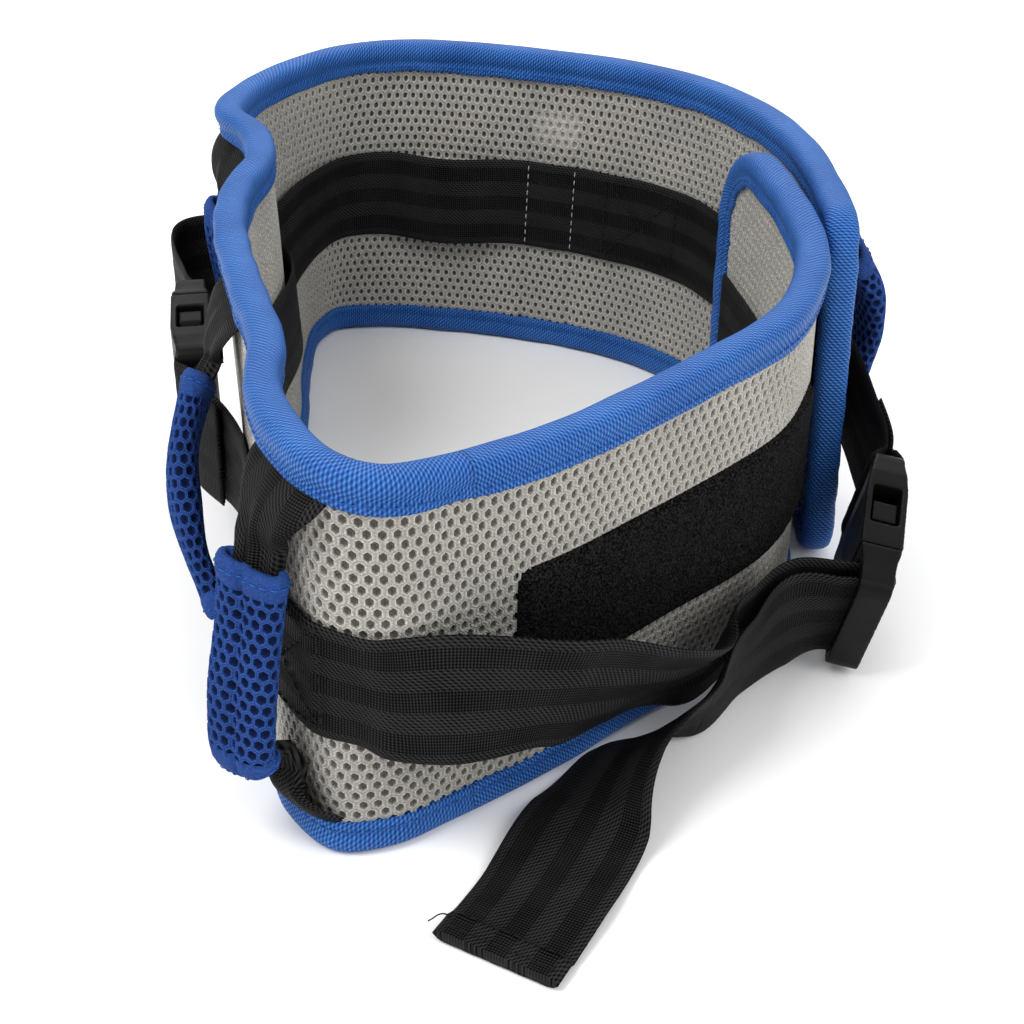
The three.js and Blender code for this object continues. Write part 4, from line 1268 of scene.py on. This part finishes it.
# Where the plain block is cut across, so that its thickness can change between the cuts.
FEMALE_CUTS = (6, 8.5, 11, 15)
MALE_CUTS = (44, 47, 50, 56)
BUCKLE_VOXEL = 0.45 * MM
WELD = 0.02 * MM
FLAT_ANGLE = math.radians(2)        # faces that turn by less than this are joined
ROUNDING, CATCH_ROUNDING = 8, 3     # rounds of smoothing


def buckle_matrix(side):
    origin, *axes = buckle_axes(side)
    start = plan(origin)
    return Matrix([(*(axis[i] for axis in axes), start[i]) for i in range(3)] + [(0, 0, 0, 1)])


def moulded(name, node, side, shape, cuts, rounds, body):
    """A copy of a CAD buckle piece, shaped along its length, with its edges smoothed round."""
    to_world = buckle_matrix(side)
    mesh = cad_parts[node].data.copy()
    mesh.name = name
    mesh.materials.clear()
    mesh.materials.append(PLASTIC)
    mesh.transform(to_world.inverted())
    work = bmesh.new()
    work.from_mesh(mesh)
    bmesh.ops.remove_doubles(work, verts=work.verts, dist=WELD)
    bmesh.ops.dissolve_limit(work, angle_limit=FLAT_ANGLE, verts=work.verts, edges=work.edges)
    for x in cuts:
        bmesh.ops.bisect_plane(work, geom=[*work.verts, *work.edges, *work.faces],
                               plane_co=(x * MM, 0, 0), plane_no=(1, 0, 0), dist=1e-6)
    places, thick, wide = (np.array(column) for column in zip(*shape))
    before, after = zip(*WINDOW_SHIFT)
    for vertex in work.verts:
        x = vertex.co.x / MM
        vertex.co.z *= float(np.interp(x, places, thick))
        vertex.co.y *= float(np.interp(x, places, wide))
        if before[0] < x < before[-1]:
            vertex.co.x = float(np.interp(x, before, after)) * MM
    bmesh.ops.recalc_face_normals(work, faces=work.faces)
    work.to_mesh(mesh)
    work.free()
    mesh.transform(to_world)
    mesh.shade_smooth()
    obj = add_object(name, mesh)
    remesh = obj.modifiers.new("remesh", "REMESH")
    remesh.mode = "VOXEL"
    remesh.voxel_size = BUCKLE_VOXEL
    remesh.use_smooth_shade = True
    rounding = obj.modifiers.new("rounding", "SMOOTH")
    rounding.factor = 0.5
    rounding.iterations = rounds
    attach(obj, body)
    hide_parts(node)


for side in BUCKLES:
    moulded(f"{side}_socket", f"{side}_buckle_female", side, FEMALE_SHAPE, FEMALE_CUTS, ROUNDING,
            "belt")
    moulded(f"{side}_plug", f"{side}_buckle_male", side, MALE_SHAPE, MALE_CUTS, ROUNDING,
            f"{side}_male")
    for level in ("upper", "lower"):
        moulded(f"{side}_{level}_catch", f"{side}_buckle_{level}_prong", side, CATCH_SHAPE, (),
                CATCH_ROUNDING, f"{side}_{level}_prong")

# ---- camera, light and floor --------------------------------------------------------------------

CAMERA_AT = (-0.002212, -0.523534, 0.355)
CAMERA_TILT = math.radians(57.5)
SENSOR_WIDTH = 36                   # mm, as is the focal length
FOCAL_LENGTH = 63.28
SURROUND = 0.9                      # strength of the even light from all round
LIT_POINT = (0, 0, 0.05)
FLOOR_HALF = 12.0
FLOOR_GAP = 0.2 * MM                # the floor lies a little below the belt's lowest point
FLOOR_GREY = 0.93
FLOOR_ROUGHNESS = 0.6

camera_data = bpy.data.cameras.new("camera")
camera_data.sensor_width = SENSOR_WIDTH
camera_data.lens = FOCAL_LENGTH
camera = add_object("camera", camera_data)
camera.location = CAMERA_AT
camera.rotation_euler = (CAMERA_TILT, 0, 0)
bpy.context.scene.camera = camera

bpy.context.scene.view_settings.view_transform = "Standard"
world = bpy.data.worlds.new("studio")
world.use_nodes = True
background = world.node_tree.nodes["Background"]
background.inputs["Color"].default_value = (1, 1, 1, 1)
background.inputs["Strength"].default_value = SURROUND
bpy.context.scene.world = world


def area_light(name, at, size, power):
    """A round light that shines on the middle of the belt."""
    data = bpy.data.lights.new(name, "AREA")
    data.shape = "DISK"
    data.size = size
    data.energy = power
    light = add_object(name, data)
    light.location = at
    direction = Vector(LIT_POINT) - Vector(at)
    light.rotation_euler = direction.to_track_quat("-Z", "Y").to_euler()


area_light("key", (-0.7, -0.5, 1.3), 0.7, 14)
area_light("fill", (0.9, -0.7, 0.9), 0.9, 7)
area_light("rim", (0.1, 1.1, 1.0), 0.8, 8)

floor_mesh = bpy.data.meshes.new("floor")
floor_corners = [(x * FLOOR_HALF, y * FLOOR_HALF, 0) for x, y in ((-1, -1), (1, -1), (1, 1), (-1, 1))]
floor_mesh.from_pydata(floor_corners, [], [(0, 1, 2, 3)])
floor_look = Look("floor", FLOOR_ROUGHNESS)
floor_look.shader.inputs["Base Color"].default_value = (*[FLOOR_GREY] * 3, 1)
floor_mesh.materials.append(floor_look.material)
floor = add_object("floor", floor_mesh)
floor.location.z = -FLOOR_GAP
